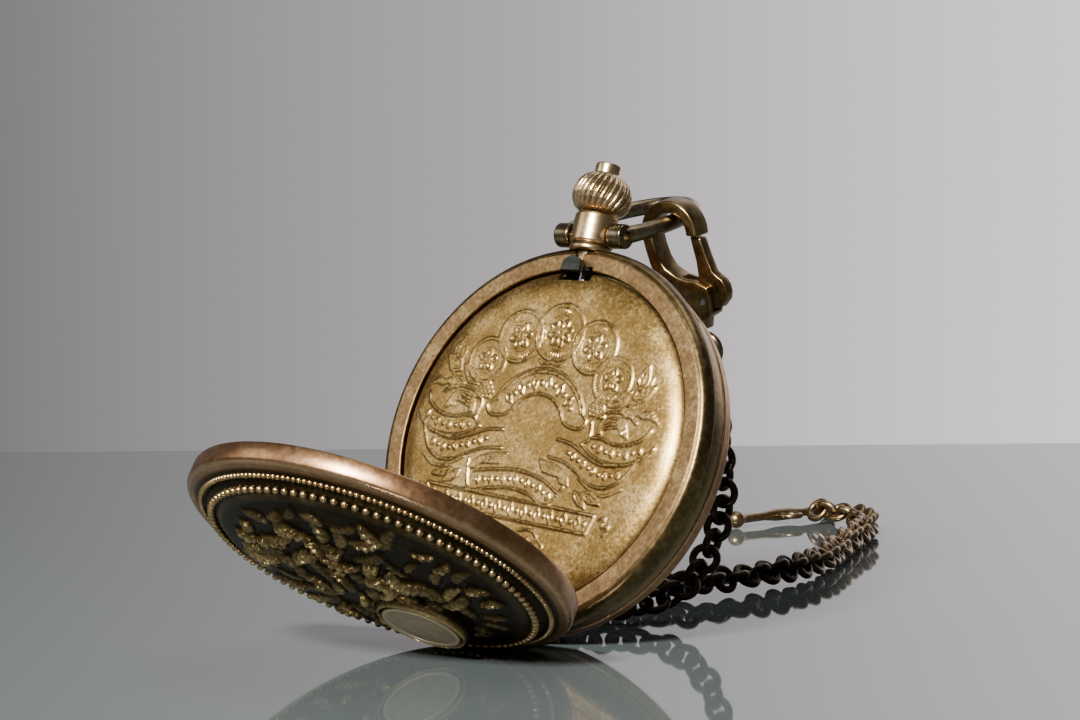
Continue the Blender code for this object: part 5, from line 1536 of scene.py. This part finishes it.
# ---- chain ----------------------------------------------------------------------------------
@dataclass
class Chain:
    """Run of round links from the clasp's eye to the end bar."""

    lie: float = 2.1
    width: float = 4.1
    wire: float = 0.5
    pitch: float = 2.16
    bar_centre: Point2 = (-41.6, 109.6)
    bar_direction: Point2 = (-0.19, -0.98)
    bar_length: float = 19.0

    def route(self) -> list[Vector]:
        """Evenly spaced points on the smooth line of the chain, in the row's frame, in metres."""
        lie = self.lie
        knots = [Vector(p) for p in (
            (9.4, 22.9, 30.9), (9.8, 23.4, 25.0), (10.0, 24.0, 19.5), (9.8, 24.2, 14.5), (9.1, 23.0, 9.6),
            (7.8, 20.2, 5.2), (5.2, 16.0, 2.6), (1.0, 12.4, lie), (-5.0, 11.6, lie), (-9.6, 15.6, lie),
            (-10.2, 22.0, lie), (-6.8, 29.0, lie), (-3.6, 36.0, lie), (-2.2, 43.0, lie), (-1.6, 50.0, lie),
            (-2.0, 58.0, lie), (-4.8, 68.0, lie), (-9.4, 78.0, lie), (-13.8, 87.0, lie), (-17.6, 96.0, lie),
            (-22.6, 104.6, lie), (-29.2, 110.4, lie), (-36.6, 112.0, lie))]
        return [p * MM + Vector((0, CENTRE.y, 0)) for p in flowing(knots, 12)]

    def links(self, bar: bpy.types.Object) -> bpy.types.Object:
        """Round links along the route.

        Args:
            bar: End bar that hangs on the last link; not used.

        Returns:
            The links.
        """
        route = self.route()
        length = sum((b - a).length for a, b in zip(route, route[1:]))
        curve = bpy.data.curves.new("chain_line", "CURVE")
        curve.dimensions = "3D"
        spline = curve.splines.new("POLY")
        spline.points.add(len(route) - 1)
        for spot, point in zip(spline.points, route):
            spot.co = (*point, 1)
        line = linked("chain_line", curve)
        count = round(length / (self.pitch * MM)) + 1
        piece = link_run_tree().grow("chain_links", line, {
            "Links": count, "Link radius": (self.width / 2 - self.wire) * MM, "Wire radius": self.wire * MM,
            "Finish": Finishes.get(CHAIN_BRONZE)})
        dress(piece, "case", CHAIN_BRONZE, "dark_bronze", "chain")
        return piece

    def end_bar(self) -> bpy.types.Object:
        """Thin bar with ball ends and a small ring."""
        direction = Vector((*self.bar_direction, 0)).normalized()
        seat = Matrix.Translation(Vector((*self.bar_centre, 1.35)) * MM + Vector((0, CENTRE.y, 0)))
        seat = seat @ Matrix.Rotation(atan2(direction.y, direction.x), 4, "Z")
        half = self.bar_length / 2
        ball = [(1.3 * sin(t), -1.3 * cos(t)) for t in [pi * k / 12 for k in range(13)]]
        left = [(r, h - half) for r, h in ball if not (h > 0 and r < 0.7)]
        right = [(r, h + half) for r, h in ball if not (h < 0 and r < 0.7)]
        waist = [(0.7, -half + 1.6), (0.62, -half * 0.4), (0.9, -1.4), (0.9, 1.4), (0.62, half * 0.4),
                 (0.7, half - 1.6)]
        piece = loose("end_bar", turned([*left, *waist, *right], 40, Axis.X), seat)
        ring = arc((1.45, 0), 0.4, 0, 345, 19)
        carve(piece, [("UNION", turned(ring, 40, Axis.Z, (0, 1.9, 0)))], seat)
        return dress(settled(piece, 50), "case", CHAIN_BRONZE, "dark_bronze", "t_bar")

    def build(self) -> None:
        """Make the bar and the links."""
        self.links(self.end_bar())


# ---- dial -----------------------------------------------------------------------------------
@dataclass
class Dial:
    """Enamel dial with minute track, numerals and seconds ring."""

    top: float = 6.2
    seconds: Point2 = (0.0, -9.0)

    def ticks(self, name: str, count: int, radius: float, bar: Point3, centre: Point2) -> None:
        """Ring of printed bars."""
        made = tick_ring_tree().grow(name, seed_mesh("ticks"), {
            "Count": count, "Radius": radius * MM, "Bar": tuple(v * MM for v in bar),
            "Finish": Finishes.get(NUMERAL_ENAMEL)})
        made.data.transform(WATCH @ Matrix.Translation((centre[0] * MM, (self.top + 0.02) * MM,
                                                        centre[1] * MM)))
        dress(made, "case", NUMERAL_ENAMEL, "dial")

    def numerals(self) -> None:
        """Arabic numerals round the dial, upright as seen from the dial's side."""
        view = WATCH @ Matrix.Translation((0, (self.top + 0.03) * MM, 0)) @ Matrix.Rotation(pi, 4, "Z")
        flat = view @ Matrix.Rotation(pi / 2, 4, "X")
        for hour in range(1, 13):
            if hour == 6:
                continue
            text = bpy.data.curves.new(f"numeral_{hour}", "FONT")
            text.body, text.size = str(hour), 3.6 * MM
            text.align_x, text.align_y = "CENTER", "CENTER"
            text.extrude = 0.015 * MM
            made = linked(f"numeral_{hour}", text)
            graph = bpy.context.evaluated_depsgraph_get()
            mesh = bpy.data.meshes.new_from_object(made.evaluated_get(graph))
            bpy.data.objects.remove(made)
            angle = 2 * pi * hour / 12
            mesh.transform(flat @ Matrix.Translation((14.4 * MM * sin(angle), 14.4 * MM * cos(angle), 0)))
            piece = linked(f"numeral_{hour}", mesh)
            dress(piece, "case", NUMERAL_ENAMEL, "dial")

    def build(self) -> None:
        """Dress the dial and add its printing."""
        frame["nodes"]["dial"].data.materials[0] = Finishes.get(DIAL_ENAMEL)
        self.ticks("minute_track", 60, 18.2, (0.9, 0.14, 0.03), (0.0, 0.0))
        self.ticks("hour_track", 12, 18.0, (1.5, 0.42, 0.035), (0.0, 0.0))
        self.ticks("seconds_track", 60, 3.3, (0.45, 0.09, 0.03), self.seconds)
        self.numerals()


# ---- carried-over movement ------------------------------------------------------------------
@dataclass
class Movement:
    """Finishes for the movement's own CAD nodes."""

    brass: tuple[str, ...] = ("main_plate", "barrel_bridge", "train_bridge", "balance_cock", "barrel",
                              "centre_wheel",
                              "third_wheel", "fourth_wheel", "balance_wheel", "minute_wheel", "hour_wheel")
    steel: tuple[str, ...] = ("ratchet_wheel", "crown_wheel", "escape_wheel", "pallet_fork", "hairspring",
                              "stem",
                              "winding_pinion", "cannon_pinion", "lid_hinge_pin", "clasp_gate_pin")
    hands: tuple[str, ...] = ("hour_hand", "minute_hand", "seconds_hand")

    def build(self) -> None:
        """Dress each node."""
        for names, finish in ((self.brass, TRAIN_BRASS), (self.steel, TRAIN_STEEL), (self.hands, HAND_STEEL)):
            for name in names:
                mesh = frame["nodes"][name].data
                mesh.materials.clear()
                mesh.materials.append(Finishes.get(finish))
                LOG.info("%s: dressed as %s", name, finish.name)


# ---- studio ---------------------------------------------------------------------------------
@dataclass
class Studio:
    """Pale table, grey surround, soft lights and the camera."""

    lens: float = 122.70
    eye: Point3 = (279.91, -344.21, 42.73)
    right: Point3 = (0.77664, 0.62989, -0.00874)
    up: Point3 = (-0.04053, 0.06381, 0.99714)
    table_back: float = 238.0

    def ahead(self) -> Vector:
        """Level direction away from the camera."""
        back = Vector(self.right).cross(Vector(self.up))
        return Vector((-back.x, -back.y, 0)).normalized()

    def camera(self) -> None:
        """Camera that looks at the watch's front from the right."""
        data = bpy.data.cameras.new("view")
        data.lens, data.sensor_width, data.clip_start, data.clip_end = self.lens, 36.0, 0.01, 20.0
        made = linked("view", data)
        right, up = Vector(self.right).normalized(), Vector(self.up)
        up = (up - right * up.dot(right)).normalized()
        made.matrix_world = basis(right, up, right.cross(up), CENTRE + Vector(self.eye) * MM)
        bpy.context.scene.camera = made

    def table(self) -> None:
        """Glossy pale table that ends a little way behind the watch."""
        ahead = self.ahead()
        side = Vector((ahead.y, -ahead.x, 0))
        back, front, wide = self.table_back * MM, -1.4, 1.6
        corners = [ahead * a + side * s for a, s in ((front, -wide), (front, wide), (back, wide),
                                                     (back, -wide))]
        shape = bmesh.new()
        top = [shape.verts.new((p.x, p.y, 0.0)) for p in corners]
        face = shape.faces.new(top)
        grown = bmesh.ops.extrude_face_region(shape, geom=[face])
        moved = [item for item in grown["geom"] if isinstance(item, bmesh.types.BMVert)]
        bmesh.ops.translate(shape, vec=(0, 0, -0.008), verts=moved)
        bmesh.ops.recalc_face_normals(shape, faces=shape.faces)
        mesh = bpy.data.meshes.new("table_top")
        shape.to_mesh(mesh)
        shape.free()
        made = linked("table_top", mesh)
        glassy = Shader("pale_table")
        glassy.surface.inputs["Base Color"].default_value = (0.10, 0.118, 0.116, 1.0)
        glassy.surface.inputs["Roughness"].default_value = 0.035
        glassy.surface.inputs["IOR"].default_value = 1.45
        mesh.materials.append(glassy.material)

    def light(self, name: str, direction: Point3, distance: float, size: Point2, power: float,
              colour: Colour = (1.0, 1.0, 1.0)) -> None:
        """Soft area light that faces the watch."""
        data = bpy.data.lights.new(name, "AREA")
        data.shape, data.size, data.size_y = "RECTANGLE", size[0], size[1]
        data.energy, data.color = power, colour
        made = linked(name, data)
        towards = Vector(direction).normalized()
        made.location = CENTRE + towards * distance
        made.rotation_euler = (-towards).to_track_quat("-Z", "Y").to_euler()

    def backdrop(self) -> None:
        """Glowing grey screen far behind the table, darker on the left."""
        away = self.ahead()
        side = Vector((away.y, -away.x, 0))
        corners = [away * 1.6 + side * s + Vector((0, 0, z))
                   for s, z in ((-2.2, -0.4), (2.2, -0.4), (2.2, 1.8), (-2.2, 1.8))]
        mesh = bpy.data.meshes.new("backdrop_screen")
        mesh.from_pydata(corners, [], [(0, 1, 2, 3)])
        made = linked("backdrop_screen", mesh)
        glow = Shader("backdrop_glow")
        coords = glow.make("ShaderNodeTexCoord")
        across = glow.make("ShaderNodeVectorMath", {"operation": "DOT_PRODUCT"},
                           {0: Term(glow, coords.outputs["Object"]), 1: tuple(side)})
        share = (Term(glow, across.outputs["Value"]) * 1.3 + 0.5).clamped()
        tone = glow.ramp(share, ((0.0, (0.14, 0.135, 0.14)), (0.5, (0.52, 0.49, 0.50)),
                                 (1.0, (1.3, 1.22, 1.26))))
        glow.surface.inputs["Base Color"].default_value = (0.0, 0.0, 0.0, 1.0)
        glow.surface.inputs["Roughness"].default_value = 1.0
        glow.surface.inputs["Specular IOR Level"].default_value = 0.0
        glow.feed(glow.surface.inputs["Emission Color"], tone)
        glow.surface.inputs["Emission Strength"].default_value = 1.0
        mesh.materials.append(glow.material)

    def surround(self) -> None:
        """Dim even surround, so that the lights and the screen shape the metal."""
        world = bpy.data.worlds.new("surround")
        world.use_nodes = True
        bpy.context.scene.world = world
        back = world.node_tree.nodes["Background"]
        back.inputs["Color"].default_value = (0.50, 0.49, 0.49, 1.0)
        back.inputs["Strength"].default_value = 0.19

    def build(self) -> None:
        """Set up the view, the table and the lights."""
        self.camera()
        self.table()
        self.backdrop()
        self.surround()
        self.light("key_soft", (0.20, -0.78, 0.56), 0.9, (0.17, 0.13), 24.0, (1.0, 0.985, 0.96))
        self.light("left_soft", (-0.72, -0.58, 0.46), 1.0, (0.5, 0.4), 1.3, (1.0, 0.97, 0.93))
        self.light("top_soft", (0.05, 0.25, 1.0), 1.1, (0.8, 0.5), 2.5)


def main() -> None:
    """Build every sub-assembly in order."""
    logging.basicConfig(level=logging.INFO, format="%(message)s")
    for part in (Studio(), Chain(), Case(), DustCover(), BackCover(), Latch(), Crown(), Clasp(), Dial(),
                 Movement()):
        part.build()
        LOG.info("built %s", type(part).__name__)


if __name__ == "__main__":
    main()
